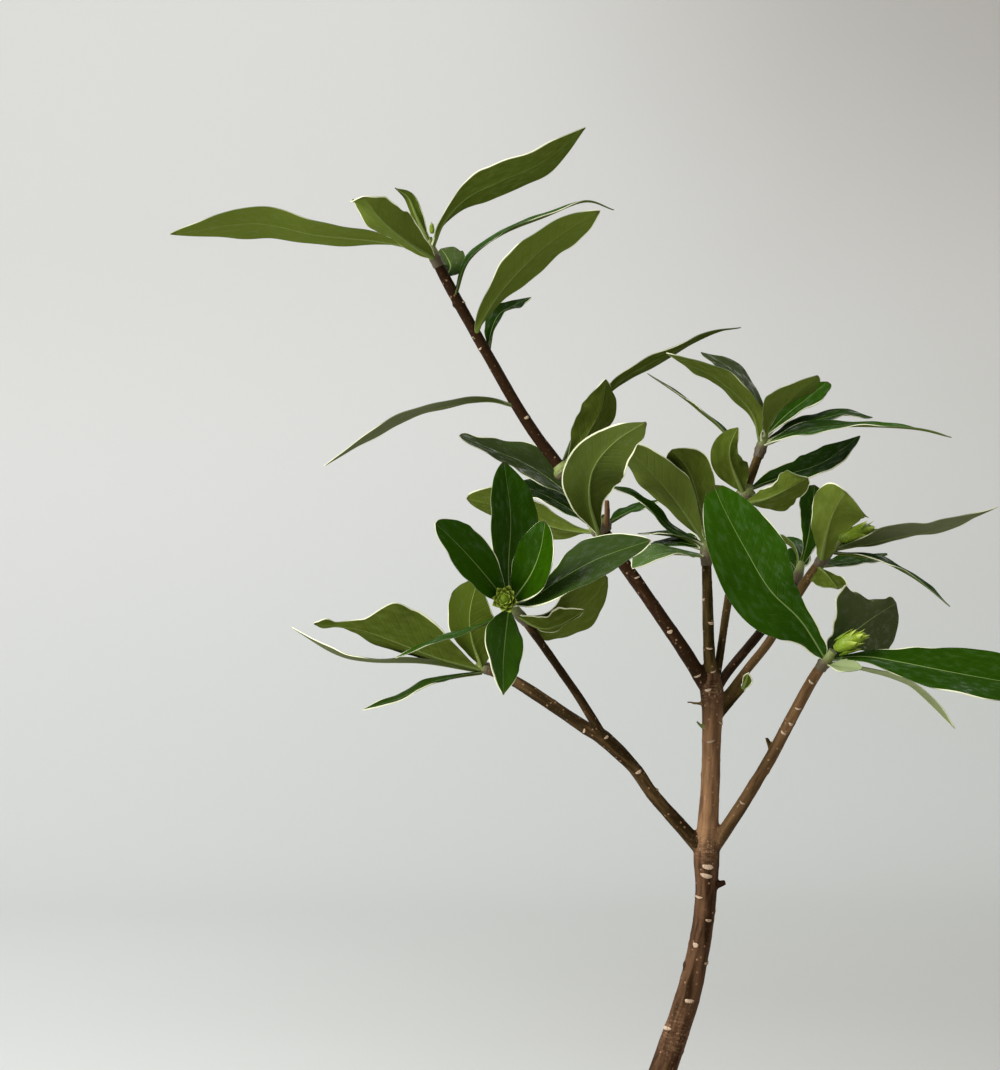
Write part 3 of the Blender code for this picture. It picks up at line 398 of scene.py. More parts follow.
# Loose crumbs of peat, bark and a little white grit on the bed. One lump is made, and each copy
# is squashed, turned and pressed into the compost.
CRUMBS = 900
TRUNK_FOOT = (-1.0, 1.5)
TRUNK_CLEARANCE = 8.5
CRUMB_KINDS = {"chip": 0.0, "peat": 0.5, "grit": 1.0}  # the mark that each bears
chance = random.Random(11)
bpy.ops.object.select_all(action="DESELECT")
bpy.ops.mesh.primitive_ico_sphere_add(subdivisions=1, radius=MM, location=(0, 0, 0))
lump = bpy.context.object
for vert in lump.data.vertices:
    vert.co *= 1.0 + 0.35 * noise.noise(vert.co * 1700.0)
crumbs = []
while len(crumbs) < CRUMBS:
    reach = math.sqrt(chance.uniform(0.012, 0.96)) * (SOIL_RADIUS - 3)
    angle = chance.uniform(0, 2 * math.pi)
    x, y = reach * math.cos(angle), reach * math.sin(angle)
    if math.hypot(x - TRUNK_FOOT[0], y - TRUNK_FOOT[1]) < TRUNK_CLEARANCE:
        continue
    crumb = copied(lump)
    crumbs.append(crumb)
    kind = chance.choices(("grit", "chip", "peat"), (7, 28, 65))[0]
    size = chance.uniform(0.5, 0.9) if kind == "grit" else chance.uniform(0.5, 1.7)
    shape = (2.6, 0.9, 0.5) if kind == "chip" else (1.0, chance.uniform(0.7, 1.0), 0.75)
    spin = Matrix.Rotation(chance.uniform(0, 6.28), 4, "Z")
    turn = spin @ Matrix.Rotation(chance.uniform(-0.4, 0.4), 4, "X")
    place = Matrix.Translation(Vector((x, y, soil_height(x, y) + 0.25 * size)) * MM)
    crumb.data.transform(place @ turn @ Matrix.Diagonal((*[size * s for s in shape], 1.0)))
    marked(crumb, "kind", [CRUMB_KINDS[kind]] * len(crumb.data.vertices))
bpy.data.objects.remove(lump)
crumbs = joined(crumbs)
riding(crumbs, "compost_crumbs", None)


def mark(tree, name):
    """The value that was written for this point of the object by this name."""
    return add_node(tree, "ShaderNodeAttribute", attribute_name=name).outputs["Fac"]


peat, tree, shader = finish("peat", 0.95)
grain = grain_at(tree, 900.0)["Grain"]
fibre = noise_at(own_place(tree), 260.0, 6.0, Distortion=1.2)
paint(
    shader, colour_between(fibre, (0.014, 0.008, 0.005), (0.085, 0.048, 0.028)),
    (smooth_step(grain, 0.52, 0.75, 0.0, 0.5), (0.13, 0.085, 0.05)),  # paler crumbs
)
relief(shader, sum_of("ADD", fibre, grain), 0.0012)
soil.data.materials.append(peat)

crumb_finish, tree, shader = finish("peat_crumbs", 0.93)
rough = grain_at(tree, 1300.0)
grain = rough["Grain"]
sort = mark(tree, "kind")
chips = colour_between(grain, (0.10, 0.045, 0.02), (0.22, 0.12, 0.06))
peats = colour_between(grain, (0.015, 0.009, 0.006), (0.07, 0.04, 0.024))
grits = colour_between(grain, (0.55, 0.52, 0.46), (0.8, 0.78, 0.72))
paint(shader, chips, (smooth_step(sort, 0.2, 0.3), peats), (smooth_step(sort, 0.7, 0.8), grits))
relief(shader, sum_of("ADD", grain, rough["Clouds"]), 0.0006)
crumbs.data.materials.append(crumb_finish)


# The wood. One grown frame of trunk and branches, with smooth red-brown bark that greys with age
# and stays olive on the young shoots. The branches are swept stems, fused where they fork.
STEM_SIDES = 16
PATH_STEP = 2.5
SKIN_CELL = 0.55
# Each branch is its tint, from 0 red-brown to 1 young and green, how pale it is, from -0.2 to 1,
# and (across, up, depth, diameter) points as they are seen from the front, in millimetres.
BRANCHES = {
    "trunk": (0.12, 0.22, [(-4.5, 96, 2, 12.5), (-3.5, 120, 2, 12.8), (-1, 148, 1, 13.2),
        (3.2, 168, 1, 12.4), (10, 190, 0, 11.4), (18.6, 214, 0, 10.9), (26.7, 238, -1, 10.1),
        (30.6, 254, -1, 9.2), (33.4, 270, 0, 8.7), (34.6, 284, 0, 9.0), (34.6, 295, 0, 10.6),
        (35.0, 303, 0, 9.6), (35.4, 312, 0, 8.3), (36.2, 326, 0, 7.7), (36.6, 342, 0, 7.8),
        (37.0, 354, 0, 8.6), (36.8, 362, 1, 9.6), (36.8, 368, 2, 6.0)]),
    "left limb": (0.34, 0.08, [(33.5, 297, 0, 6.0), (25.4, 306.4, -1, 5.8), (13, 320.4, -3, 5.2),
        (5.4, 331.2, -4, 5.4), (-6.6, 342.8, -6, 6.4), (-13, 346.4, -5, 5.4), (-22, 352.4, -3, 5.0),
        (-33, 359.8, 0, 4.9), (-43, 366, 2, 4.7), (-52.5, 370.2, 3, 4.2)]),
    "front left twig": (0.3, 0.05, [(-6.2, 342, -6, 4.2), (-11, 350.4, -9, 3.9), (-17, 360, -14, 3.5),
        (-24.4, 370.6, -22, 3.4), (-32, 381.4, -33, 3.4), (-38, 389.6, -43, 3.4)]),
    "right limb": (0.28, 0.42, [(37, 298, 0, 5.4), (41.5, 305, -2, 5.6), (49, 316.4, -6, 5.3),
        (55, 326.2, -10, 5.1), (60, 334.4, -14, 5.0), (64, 342, -17, 4.9), (70, 353.4, -22, 4.8),
        (76, 364.4, -28, 4.6), (80.4, 371.4, -32, 4.2)]),
    "long top limb": (0.12, -0.2, [(36, 361, 1, 6.2), (26, 377.2, 2, 5.8), (17.8, 389.2, 4, 5.5),
        (9.8, 400.8, 6, 5.4), (1.2, 413, 8, 5.5), (-8, 427.4, 10, 5.3), (-18, 443, 12, 5.0),
        (-27, 455.2, 13, 4.9), (-34, 464.4, 13, 4.8), (-41.8, 476.6, 13, 4.7), (-49.8, 490.6, 13, 4.6),
        (-60, 508.6, 12, 4.6), (-69, 525, 11, 4.6), (-73.6, 534, 10, 4.2)]),
    "upright limb": (0.6, 0.2, [(36.8, 362, 1, 5.2), (36, 371, 2, 5.0), (35.4, 384, 3, 4.8),
        (35, 399, 5, 4.4), (34.6, 413, 6, 4.0)]),
    "inner right limb": (0.5, 0.25, [(38, 364, 2, 3.6), (40, 376, 6, 3.4), (42, 390, 11, 3.4),
        (43.8, 401, 14, 3.6), (46.8, 420, 20, 3.8), (49.4, 438, 24, 4.0), (52.6, 448, 27, 4.0),
        (55.6, 456.4, 29, 3.8)]),
    "back right limb": (0.1, 0.05, [(38.4, 362, 3, 4.2), (43.4, 369.6, 12, 4.0), (55.6, 384.4, 32, 4.0),
        (65, 396.6, 48, 3.8), (70.2, 405.6, 56, 3.6)]),
    "outer right limb": (0.5, 0.6, [(38, 356, 1, 3.8), (43.4, 360.6, 5, 3.7), (50.8, 370.2, 12, 3.7),
        (60.2, 382.2, 22, 3.8), (72.4, 402.4, 36, 4.2), (78.6, 411.4, 42, 4.0)]),
    "fork spur": (0.6, 0.3, [(38.5, 350, 0, 3.0), (43, 355.4, 3, 2.8), (49.4, 362.6, 7, 2.4)]),
    "grey stub": (0.2, 0.9, [(-6.4, 424, 9, 2.6), (-5.2, 431, 5, 2.5), (-5.2, 438, 3, 2.2)]),
    "pale spine": (0.7, 0.8, [(35, 356.4, 0, 1.8), (31, 356.6, -1, 1.4), (26.6, 357.2, -2, 0.9)]),
    "green spine": (1.0, 0.6, [(35.4, 345.6, 0, 1.8), (32.6, 347.4, -2, 1.5), (30.6, 349.6, -3, 1.1)]),
    "dark bud stub": (0.0, 0.0, [(36, 283, 0, 2.6), (39.6, 284.2, -1, 2.8), (42.2, 285.2, -1, 2.2)]),
    "low bump": (0.1, 0.2, [(29, 251, 0, 2.6), (25.4, 252.6, -1, 2.4)]),
    "limb bump": (0.5, 0.2, [(61, 337, -14, 2.4), (58.6, 343, -15, 1.6)]),
    "top bump": (0.0, 0.1, [(-63, 514, 12, 2.6), (-66.8, 516.4, 11, 2.0)]),
}
# Where an old leaf dropped: the branch, and on it the height and the angle round it. 0 faces the
# viewer and 90 the right.
SCARS = (
    ("trunk", ((341.6, -10), (318, 150), (328, -120), (349, 60), (291.8, 2), (288.2, -6), (279.4, -48),
        (270.4, 24), (260, -25), (254, 65), (238.8, 8), (246, 180), (264, 200), (226, -60), (219, 110),
        (206, 15), (196, -150), (184, 70), (274, 130), (334, 175))),
    ("left limb", ((329.6, 10), (343, 20), (347, -30), (312, 170), (321, 80), (356, 150))),
    ("right limb", ((318, -15), (331, 120), (346.8, -8), (350.8, 14), (357, 6), (367.4, -10), (325, 190))),
    ("long top limb", ((368, -20), (385.2, -10), (396, 160), (406, 30), (471, 20), (484, 170), (500, -40),
        (517, 60))),
    ("upright limb", ((378.4, 0), (388.4, 30), (398, -50), (405, 150), (369, 25))),
    ("trunk", ((361.5, -25),)),
)
SCAR_SPOTS = [(name, up, angle) for name, spots in SCARS for up, angle in spots]


def placed(across, up, depth):
    """The point seen here on the upright plane through the trunk, moved along the line of sight."""
    seen = Vector((across, 0.0, up))
    return EYE + (seen - EYE) * ((depth - EYE.y) / -EYE.y)


def even_points(points, count):
    """Evenly spaced points on the smooth curve through the given ones, count steps in all. A
    fourth number of a point, such as a radius, is carried along."""
    steps = 12
    ends = [points[0] * 2 - points[1], *points, points[-1] * 2 - points[-2]]
    fine = []
    for a, b, c, d in zip(ends, ends[1:], ends[2:], ends[3:]):
        for step in range(steps):
            t = step / steps
            square = (2 * a - 5 * b + 4 * c - d) * t * t
            cube = (3 * b - a - 3 * c + d) * t**3
            fine.append((2 * b + (c - a) * t + square + cube) / 2)
    fine.append(points[-1])
    reach = [0.0]
    for one, other in zip(fine, fine[1:]):
        reach.append(reach[-1] + (other.xyz - one.xyz).length)
    even = []
    at = 0
    for step in range(count + 1):
        wanted = reach[-1] * step / count
        while at < len(fine) - 2 and reach[at + 1] < wanted:
            at += 1
        share = (wanted - reach[at]) / (reach[at + 1] - reach[at])
        even.append(fine[at].lerp(fine[at + 1], share))
    return even


def stem(points):
    """A round stem swept along points that carry their own radius, closed at both ends."""
    bpy.ops.object.select_all(action="DESELECT")
    bpy.ops.curve.primitive_nurbs_path_add(location=(0, 0, 0))
    curve = bpy.context.object
    spline = curve.data.splines[0]
    spline.type = "POLY"
    spline.points.add(len(points) - len(spline.points))
    for spline_point, point in zip(spline.points, points):
        spline_point.co = (*(point.xyz * MM), 1.0)
        spline_point.radius = point.w
    curve.data.bevel_depth = MM
    curve.data.bevel_resolution = (STEM_SIDES - 4) // 2
    curve.data.use_fill_caps = True
    bpy.ops.object.convert(target="MESH")
    bpy.ops.object.mode_set(mode="EDIT")
    bpy.ops.mesh.select_all(action="SELECT")
    bpy.ops.mesh.remove_doubles(threshold=0.00001)
    align_faces()
    return bpy.context.object


def applied(obj, kind, **options):
    """Adds a modifier with these options and applies it."""
    pick([obj])
    modifier = obj.modifiers.new(kind.title(), kind)
    for name, value in options.items():
        setattr(modifier, name, value)
    bpy.ops.object.modifier_apply(modifier=modifier.name)


def branch_path(name):
    """The branch's centre line every few millimetres, each point with its radius."""
    points = []
    for across, up, depth, diameter in BRANCHES[name][2]:
        points.append(Vector((*placed(across, up, depth), diameter / 2)))
    length = sum((b.xyz - a.xyz).length for a, b in zip(points, points[1:]))
    return even_points(points, max(4, round(length / PATH_STEP)))


PATHS = {name: branch_path(name) for name in BRANCHES}


def scar_place(name, up):
    """The centre, radius and direction of the branch at this seen height."""
    path = PATHS[name]
    height = placed(0.0, up, 0.0).z
    at = min(range(1, len(path) - 1), key=lambda i: abs(path[i].z - height))
    low, high = path[at - 1], path[at + 1]
    share = min(max((height - low.z) / (high.z - low.z), 0.0), 1.0)
    return low.lerp(high, share), (high.xyz - low.xyz).normalized()


def outward_at(axis, angle):
    """The direction straight out of a branch at this angle round it."""
    front = Vector((0, -1, 0))
    front = (front - axis * front.dot(axis)).normalized()
    return Matrix.Rotation(math.radians(angle), 3, axis) @ front


def bump_over(distance, reach):
    """1 at no distance, sinking smoothly to nothing well past this reach."""
    return math.exp(-((distance / reach) ** 2))


def rising_past(height, level, softness):
    """From 0 well below this level to 1 well above it."""
    return 1 / (1 + math.exp((level - height) / softness))


wood = joined([stem(path) for path in PATHS.values()])
applied(wood, "REMESH", mode="VOXEL", voxel_size=SKIN_CELL * MM)
applied(wood, "SMOOTH", factor=0.5, iterations=5)

# The bark's fibres run along each branch. Every point of the skin gets the place of its nearest
# branch, round it and along it, for the grain, the leaf joints and the colour.
samples = []
for name, path in PATHS.items():
    run = 0.0
    for index, point in enumerate(path):
        ahead, behind = path[min(index + 1, len(path) - 1)], path[max(index - 1, 0)]
        run += (point.xyz - behind.xyz).length if index else 0.0
        samples.append((point, (ahead.xyz - behind.xyz).normalized(), run, name))
nearest = KDTree(len(samples))
for index, sample in enumerate(samples):
    nearest.insert(sample[0].xyz, index)
nearest.balance()
joints = []
for name, up, angle in SCAR_SPOTS:
    centre, axis = scar_place(name, up)
    joints.append((centre.xyz + outward_at(axis, angle) * centre.w, axis))
# The two forks and a scarred stretch near the foot, where the bark is wrinkled and corky: across,
# up, and how far it reaches.
KNUCKLES = ((35.0, 300.0, 6.0), (37.0, 361.0, 4.5), (22.7, 225.0, 9.0))
grain_places = []
marks = {"tint": [], "worn": [], "knuckle": [], "ridge": []}
for vert in wood.data.vertices:
    seen = vert.co / MM
    near = min(nearest.find_n(seen, 5), key=lambda found: found[2] - samples[found[1]][0].w)
    point, axis, run, name = samples[near[1]]
    offset = seen - point.xyz
    along = run + offset.dot(axis)
    across = (offset - axis * offset.dot(axis)).normalized()
    front = outward_at(axis, 0)
    angle = math.atan2(across.dot(axis.cross(front)), across.dot(front))
    around = Vector((math.cos(angle), math.sin(angle), 0)) * point.w
    grain_places.extend(around + Vector((0, 0, along * 0.16 + len(name) * 7.0)))
    tint, worn = BRANCHES[name][:2]
    if name == "trunk":  # it is pale between its forks, and a little near its foot
        worn += 0.55 * rising_past(seen.z, 300, 2.5) - 0.45 * rising_past(seen.z, 352, 3)
        worn += 0.12 * (1 - rising_past(seen.z, 235, 8))
    knuckle = max(bump_over(math.hypot(seen.x - side, seen.z - up), reach) for side, up, reach in KNUCKLES)
    ridge = 0.0
    for centre, joint_axis in joints:
        if abs(seen.z - centre.z) < 8:
            gap = seen - centre
            rise = gap.dot(joint_axis)
            sideways = (gap - joint_axis * rise).length
            ridge = max(ridge, bump_over(rise, 0.9) * bump_over(sideways, point.w * 1.3))
    for values, value in zip(marks.values(), (tint, worn, knuckle, ridge)):
        values.append(value)
    fibres = noise.noise(Vector((around.x * 0.9, around.y * 0.9, along * 0.09)))
    furrows = noise.noise(Vector((around.x * 2.2, around.y * 2.2, along * 0.22 + 40)))
    swell = noise.noise(Vector((0, 0, along * 0.12 + len(name))))
    creases = noise.noise(Vector((around.x * 0.4, around.y * 0.4, along * 1.3)))
    lift = 0.07 * fibres + 0.03 * furrows + 0.14 * swell + 0.22 * ridge + 0.06 * creases * knuckle
    vert.co += across * (lift * min(point.w / 3.0, 1.0) * MM)
wood.data.attributes.new("grain_place", "FLOAT_VECTOR", "POINT").data.foreach_set("vector", grain_places)
for name, values in marks.items():
    marked(wood, name, values)
bpy.ops.object.shade_smooth()
riding(wood, "wood", "stems")

bark, tree, shader = finish("daphne_bark", 0.6, Specular_IOR_Level=0.04)
place = add_node(tree, "ShaderNodeAttribute", attribute_name="grain_place").outputs["Vector"]
tint, worn, knuckle, ridge = [mark(tree, name) for name in marks]
rough = grain_at(tree, 1400.0)
fibres = noise_at(place, 0.8, 6.0)
patches = noise_at(place, 0.25, 4.0)
ringed = add_node(tree, "ShaderNodeMapping", {"Vector": place, "Scale": (0.25, 0.25, 7.0)}).outputs["Vector"]
creases = noise_at(ringed, 1.3, 5.0)
dots, specks = [
    add_node(tree, "ShaderNodeTexVoronoi", {"Vector": own_place(tree), "Scale": scale}).outputs
    for scale in (620.0, 910.0)
]
level = sum_of("ADD", worn, sum_of("MULTIPLY_ADD", patches, 1.8, -0.95))
level = sum_of("ADD", level, sum_of("MULTIPLY_ADD", fibres, 0.7, -0.35))
paleness = smooth_step(level, -0.1, 0.5)
red = colour_between(paleness, (0.024, 0.0104, 0.004), (0.116, 0.058, 0.030))
olive = colour_between(paleness, (0.024, 0.016, 0.0035), (0.105, 0.068, 0.021))
green = colour_between(fibres, (0.10, 0.12, 0.03), (0.2, 0.22, 0.07))
some = add_node(tree, "ShaderNodeSeparateColor", {0: dots["Color"]}).outputs[0]
some = sum_of("MAXIMUM", smooth_step(some, 0.80, 0.84, 0.0, 0.5), times(knuckle, 0.45))
flecks = times(smooth_step(dots["Distance"], 0.34, 0.2), some)
paint(
    shader, red,
    (smooth_step(tint, 0.0, 0.6), olive),
    (smooth_step(level, 0.4, 1.15), (0.30, 0.165, 0.078)),  # worn pale
    (smooth_step(tint, 0.75, 1.0), green),
    (times(knuckle, smooth_step(creases, 0.50, 0.62, 0.0, 0.3)), (0.36, 0.22, 0.12)),  # corky rings
    (times(knuckle, smooth_step(creases, 0.46, 0.36, 0.0, 0.3)), (0.035, 0.016, 0.007)),  # and cracks
    (flecks, (0.42, 0.25, 0.14)),
    (times(knuckle, smooth_step(specks["Distance"], 0.25, 0.12, 0.0, 0.6)), (0.02, 0.010, 0.005)),
    (times(rough["Pits"], 0.12), (0.20, 0.12, 0.07)),
    (smooth_step(ridge, 0.35, 0.9, 0.0, 0.25), (0.045, 0.024, 0.012)),  # leaf joints
)
feed(shader, "Roughness", smooth_step(fibres, 0.3, 0.7, 0.42, 0.65))
height = sum_of("MULTIPLY_ADD", fibres, 0.6, times(rough["Grain"], 0.3))
relief(shader, sum_of("ADD", height, times(flecks, 0.4)), 0.0004)
wood.data.materials.append(bark)

# The leaf scars. Each is a pale corky lip that wraps part of the way round the bark, where a leaf
# stalk dropped off. One is shaped, and each copy is bent round its own branch.
SCAR_WIDTH = 3.0
SCAR_HEIGHT = 1.3
bpy.ops.object.select_all(action="DESELECT")
bpy.ops.mesh.primitive_uv_sphere_add(segments=14, ring_count=8, radius=1.0, location=(0, 0, 0))
crescent = bpy.context.object
scars = []
for name, up, angle in SCAR_SPOTS:
    centre, axis = scar_place(name, up)
    scar = copied(crescent)
    stout = min(1.5, 0.3 + centre.w / 4.5)
    width = SCAR_WIDTH * (0.65 + 0.6 * chance.random()) * stout
    tall = SCAR_HEIGHT * (0.6 + 0.6 * chance.random()) * stout
    tilt = 0.5 * chance.random() - 0.25
    for vert in scar.data.vertices:
        side = vert.co.x * width / 2
        rise = vert.co.y * tall / 2 + 0.35 * vert.co.x**2 - 0.15 + tilt * side
        rise += 0.12 * noise.noise(Vector((vert.co.x * 2, vert.co.y * 2, up)))
        out = vert.co.z * 0.42 + 0.10 - 0.16 * bump_over(vert.co.y, 0.4) * (vert.co.z > 0)
        around = angle + math.degrees(side / centre.w)
        vert.co = (centre.xyz + axis * rise + outward_at(axis, around) * (centre.w + out)) * MM
    scars.append(scar)
bpy.data.objects.remove(crescent)
scars = joined(scars)
bpy.ops.object.shade_smooth()
riding(scars, "leaf_scars", None)

cork, tree, shader = finish("scar_cork", 0.8)
rough = grain_at(tree, 2200.0)
grain = rough["Grain"]
paint(
    shader, colour_between(smooth_step(grain, 0.3, 0.6), (0.30, 0.18, 0.10), (0.60, 0.45, 0.31)),
    (smooth_step(rough["Clouds"], 0.5, 0.62, 0.0, 0.6), (0.20, 0.12, 0.065)),
)
relief(shader, grain, 0.0003)
scars.data.materials.append(cork)


# The leaves. Each is a leathery evergreen blade on a short stalk: deep glossy green above, matt
# olive below, with a raised midrib underneath and a thin cream margin. They grow straight out of
# a green shoot, and each whorl with its shoot is one grown piece.
BLADE_CELLS = (18, 52)  # across and along
BLADE_THIN = 0.42
RIB_PROUD = 0.8
STALK_WIDTH = 2.3
TIP_WIDTH = 0.5
VEIN_STEP = 4.6  # between side veins, in millimetres
VEIN_SLANT = 1.1  # how far a side vein runs forward for each millimetre outwards
MARGIN_WIDTH = 0.34
SPIRAL = 2.4  # the angle from one leaf, or one bud scale, to the next
SHOOT_STEPS = 14


def leaf(*midrib, **changes):
    """A leaf. Its midrib is a list of (across, up, depth). Turn is the angle about the midrib: at 0
    the upper side faces the viewer, at 180 the underside does. Fold lifts both halves, and left and
    right are each half's width along the leaf, as a share of the plain outline's. Tone is 0 for a
    dark leaf, 1 for a light one, 2 for a pale young one and -1 for an aged, greyer one, whose grey
    also stands in for a painted sheen. Shine is its gloss."""
    plain = {
        "fold": 12, "wave": 0.8, "widest": 0.56, "taper": 1.15, "point": 0.75,
        "left": 1.0, "right": 1.0, "tone": 0.5, "shine": 0.13,
    }
    return {"midrib": midrib, **plain, **changes}


def between(values, along):
    """The value at this place along a leaf, where values are spread evenly from base to tip."""
    if not isinstance(values, tuple):
        return values
    place = along * (len(values) - 1)
    low = min(int(place), len(values) - 2)
    share = place - low
    share = share * share * (3 - 2 * share) if len(values) > 5 else share
    return values[low] + (values[low + 1] - values[low]) * share


def half_width(one, along):
    """Half the blade's width here: a stalk, a long taper outwards, and a blunt point."""
    if along < one["widest"]:
        swell = math.sin(math.pi / 2 * along / one["widest"]) ** one["taper"]
        return max(one["width"] / 2 * swell, STALK_WIDTH / 2)
    past = (along - one["widest"]) / (1 - one["widest"])
    swell = max(math.cos(math.pi / 2 * past), 0.0) ** one["point"]
    return max(one["width"] / 2 * swell, TIP_WIDTH / 2)


def blade(one, index):
    """One leaf: a grid laid along its midrib, folded, waved, veined and thickened."""
    cells_across, cells_along = BLADE_CELLS
    bpy.ops.object.select_all(action="DESELECT")
    bpy.ops.mesh.primitive_grid_add(
        x_subdivisions=cells_across, y_subdivisions=cells_along, size=2.0, location=(0, 0, 0)
    )
    made = bpy.context.object
    mesh = made.data
    for side_finish in (LEAF_ABOVE, LEAF_BELOW, LEAF_MARGIN):
        mesh.materials.append(side_finish)
    path = even_points([placed(*point) for point in one["midrib"]], cells_along)
    length = sum((b - a).length for a, b in zip(path, path[1:]))
    phase = index * SPIRAL
    places, insets, alongs, weights = [], [], [], []
    for vert in mesh.vertices:
        row = round((vert.co.y + 1) / 2 * cells_along)
        across = math.copysign(abs(vert.co.x) ** 1.2, vert.co.x)
        along = row / cells_along
        forward = (path[min(row + 1, cells_along)] - path[max(row - 1, 0)]).normalized()
        side = forward.cross(Vector((0, -1, 0))).normalized()
        facing = side.cross(forward)
        turn = math.radians(between(one["turn"], along))
        upper = facing * math.cos(turn) + side * math.sin(turn)
        wide = side * math.cos(turn) - facing * math.sin(turn)
        half = half_width(one, along) * between(one["right" if across > 0 else "left"], along)
        full = math.sin(math.pi * along)
        out = abs(across) * half
        inset = half * (1 - abs(across))
        fold = math.radians(between(one["fold"], along)) * min(1.0, 2.0 * full)
        swing = math.sin(2 * math.pi * 2.2 * along + phase + across)
        ripple = one["wave"] * full * across**2 * swing
        ripple += 0.3 * one["wave"] * full * across**4 * math.sin(2 * math.pi * 5.3 * along + 1.7 * phase)
        vein = math.cos(2 * math.pi * (along * length - VEIN_SLANT * out) / VEIN_STEP + phase)
        soft = min(1.0, inset / 3.0) * min(1.0, out / 1.5)
        lift = half * math.sin(fold) * abs(across) ** 1.25 + ripple + 0.2
        lift += -0.03 * vein * soft - 0.30 * bump_over(out, 0.8) * (1 - along)
        lift -= 0.35 * abs(across) ** 10 * full
        vert.co = (path[row] + wide * (across * half * math.cos(fold)) + upper * lift) * MM
        places.append((across * half / 10, along * length / 10))
        insets.append(inset)
        alongs.append(along)
        rib = bump_over(out, 0.55 + 0.5 * (1 - along)) * (1 - 0.92 * along)
        thick = BLADE_THIN * (0.7 + 0.3 * min(1.0, inset / 1.2)) + RIB_PROUD * rib
        weights.append(thick / (BLADE_THIN + RIB_PROUD))
    for loop in mesh.loops:
        mesh.uv_layers[0].data[loop.index].uv = places[loop.vertex_index]
    mesh.uv_layers[0].name = "blade"
    marked(made, "inset", insets)
    marked(made, "along", alongs)
    marked(made, "tone", [one["tone"] + 0.1 * math.sin(phase)] * len(alongs))
    marked(made, "shine", [one["shine"]] * len(alongs))
    thickness = made.vertex_groups.new(name="thickness")
    for number, weight in enumerate(weights):
        thickness.add([number], weight, "REPLACE")
    applied(
        made, "SOLIDIFY", thickness=(BLADE_THIN + RIB_PROUD) * MM, offset=-1.0,
        vertex_group="thickness", thickness_vertex_group=0.0, material_offset=1, material_offset_rim=2,
    )
    made.vertex_groups.clear()
    return made


def green_shoot(centres):
    """A green shoot through these (across, up, depth, diameter) points. Where it starts or ends on
    a branch, it is no wider than the bark there."""
    points = even_points([Vector((*placed(*point[:3]), point[3] / 2)) for point in centres], SHOOT_STEPS)
    for index, point in enumerate(points):
        number, gap = nearest.find(point.xyz)[1:]
        bark_radius = samples[number][0].w
        blend = max(0.0, 1 - index / 5) if gap < 1.5 else 0.0
        if index > 9 and gap < 1.0 and bark_radius > 1.5:
            blend = (index - 9) / 5
        point.w += min(bark_radius + 0.12 - point.w, 0.0) * blend
        point.w *= 1.0 + 0.03 * math.sin(index * 1.9)
    made = stem(points)
    ripeness = []
    for vert in made.data.vertices:
        spot = vert.co / MM
        at = min(range(SHOOT_STEPS + 1), key=lambda i: (points[i].xyz - spot).length)
        ripeness.append(at / SHOOT_STEPS)
    marked(made, "along", ripeness)
    made.data.materials.append(SHOOT_GREEN)
    return made


def whorl(name, replaced, *leaves, shoot=()):
    """Leaves with the green shoot that they spring from, or alone where they sit on the bark."""
    pieces = [blade(one, index) for index, one in enumerate(leaves)]
    if shoot:
        pieces.append(green_shoot(shoot))
    made = joined(pieces)
    bpy.ops.object.shade_smooth_by_angle(angle=math.radians(50))
    riding(made, name, replaced)


# Where the veins, margin and mottling lie on a blade, for its upper side and its underside.
BLADE_LINES, given = node_group(
    "blade_lines", {"Rib Width": "NodeSocketFloat"}, ("Rib", "Veins", "Margin", "Mottle", "Cells")
)
uv = add_node(BLADE_LINES, "ShaderNodeUVMap", uv_map="blade").outputs["UV"]
solid = own_place(BLADE_LINES)
inset, along = mark(BLADE_LINES, "inset"), mark(BLADE_LINES, "along")
axes = add_node(BLADE_LINES, "ShaderNodeSeparateXYZ", {0: uv}).outputs
drift = noise_at(solid, 160.0, 2.0)
slow = noise_at(solid, 34.0, 1.0)
out = times(sum_of("ABSOLUTE", axes["X"]), 10.0)
rib_width = times(given["Rib Width"], smooth_step(along, 1.0, 0.0, 0.25, 1.3))
leaning = sum_of("MULTIPLY_ADD", out, -VEIN_SLANT, times(axes["Y"], 10.0))
leaning = sum_of("MULTIPLY_ADD", drift, 2.2, leaning)
turns = sum_of("FRACT", sum_of("DIVIDE", leaning, VEIN_STEP))
off = sum_of("ABSOLUTE", sum_of("SUBTRACT", turns, 0.5))
edge = times(sum_of("MULTIPLY_ADD", drift, 0.9, 0.3), smooth_step(slow, 0.46, 0.64, 0.02, 2.3))
stretched = add_node(BLADE_LINES, "ShaderNodeMapping", {"Vector": uv, "Scale": (3.0, 1.1, 1.0)}).outputs
put_out(
    BLADE_LINES,
    smooth_step(sum_of("DIVIDE", out, rib_width), 0.4, 1.0, 1.0, 0.0),
    times(smooth_step(off, 0.02, 0.11, 1.0, 0.0), smooth_step(inset, 1.0, 5.0)),
    smooth_step(sum_of("DIVIDE", inset, times(edge, MARGIN_WIDTH)), 0.7, 1.25, 1.0, 0.0),
    noise_at(stretched["Vector"], 1.6, 5.0),
    add_node(BLADE_LINES, "ShaderNodeTexVoronoi", {"Vector": solid, "Scale": 2600.0}).outputs["Distance"],
)


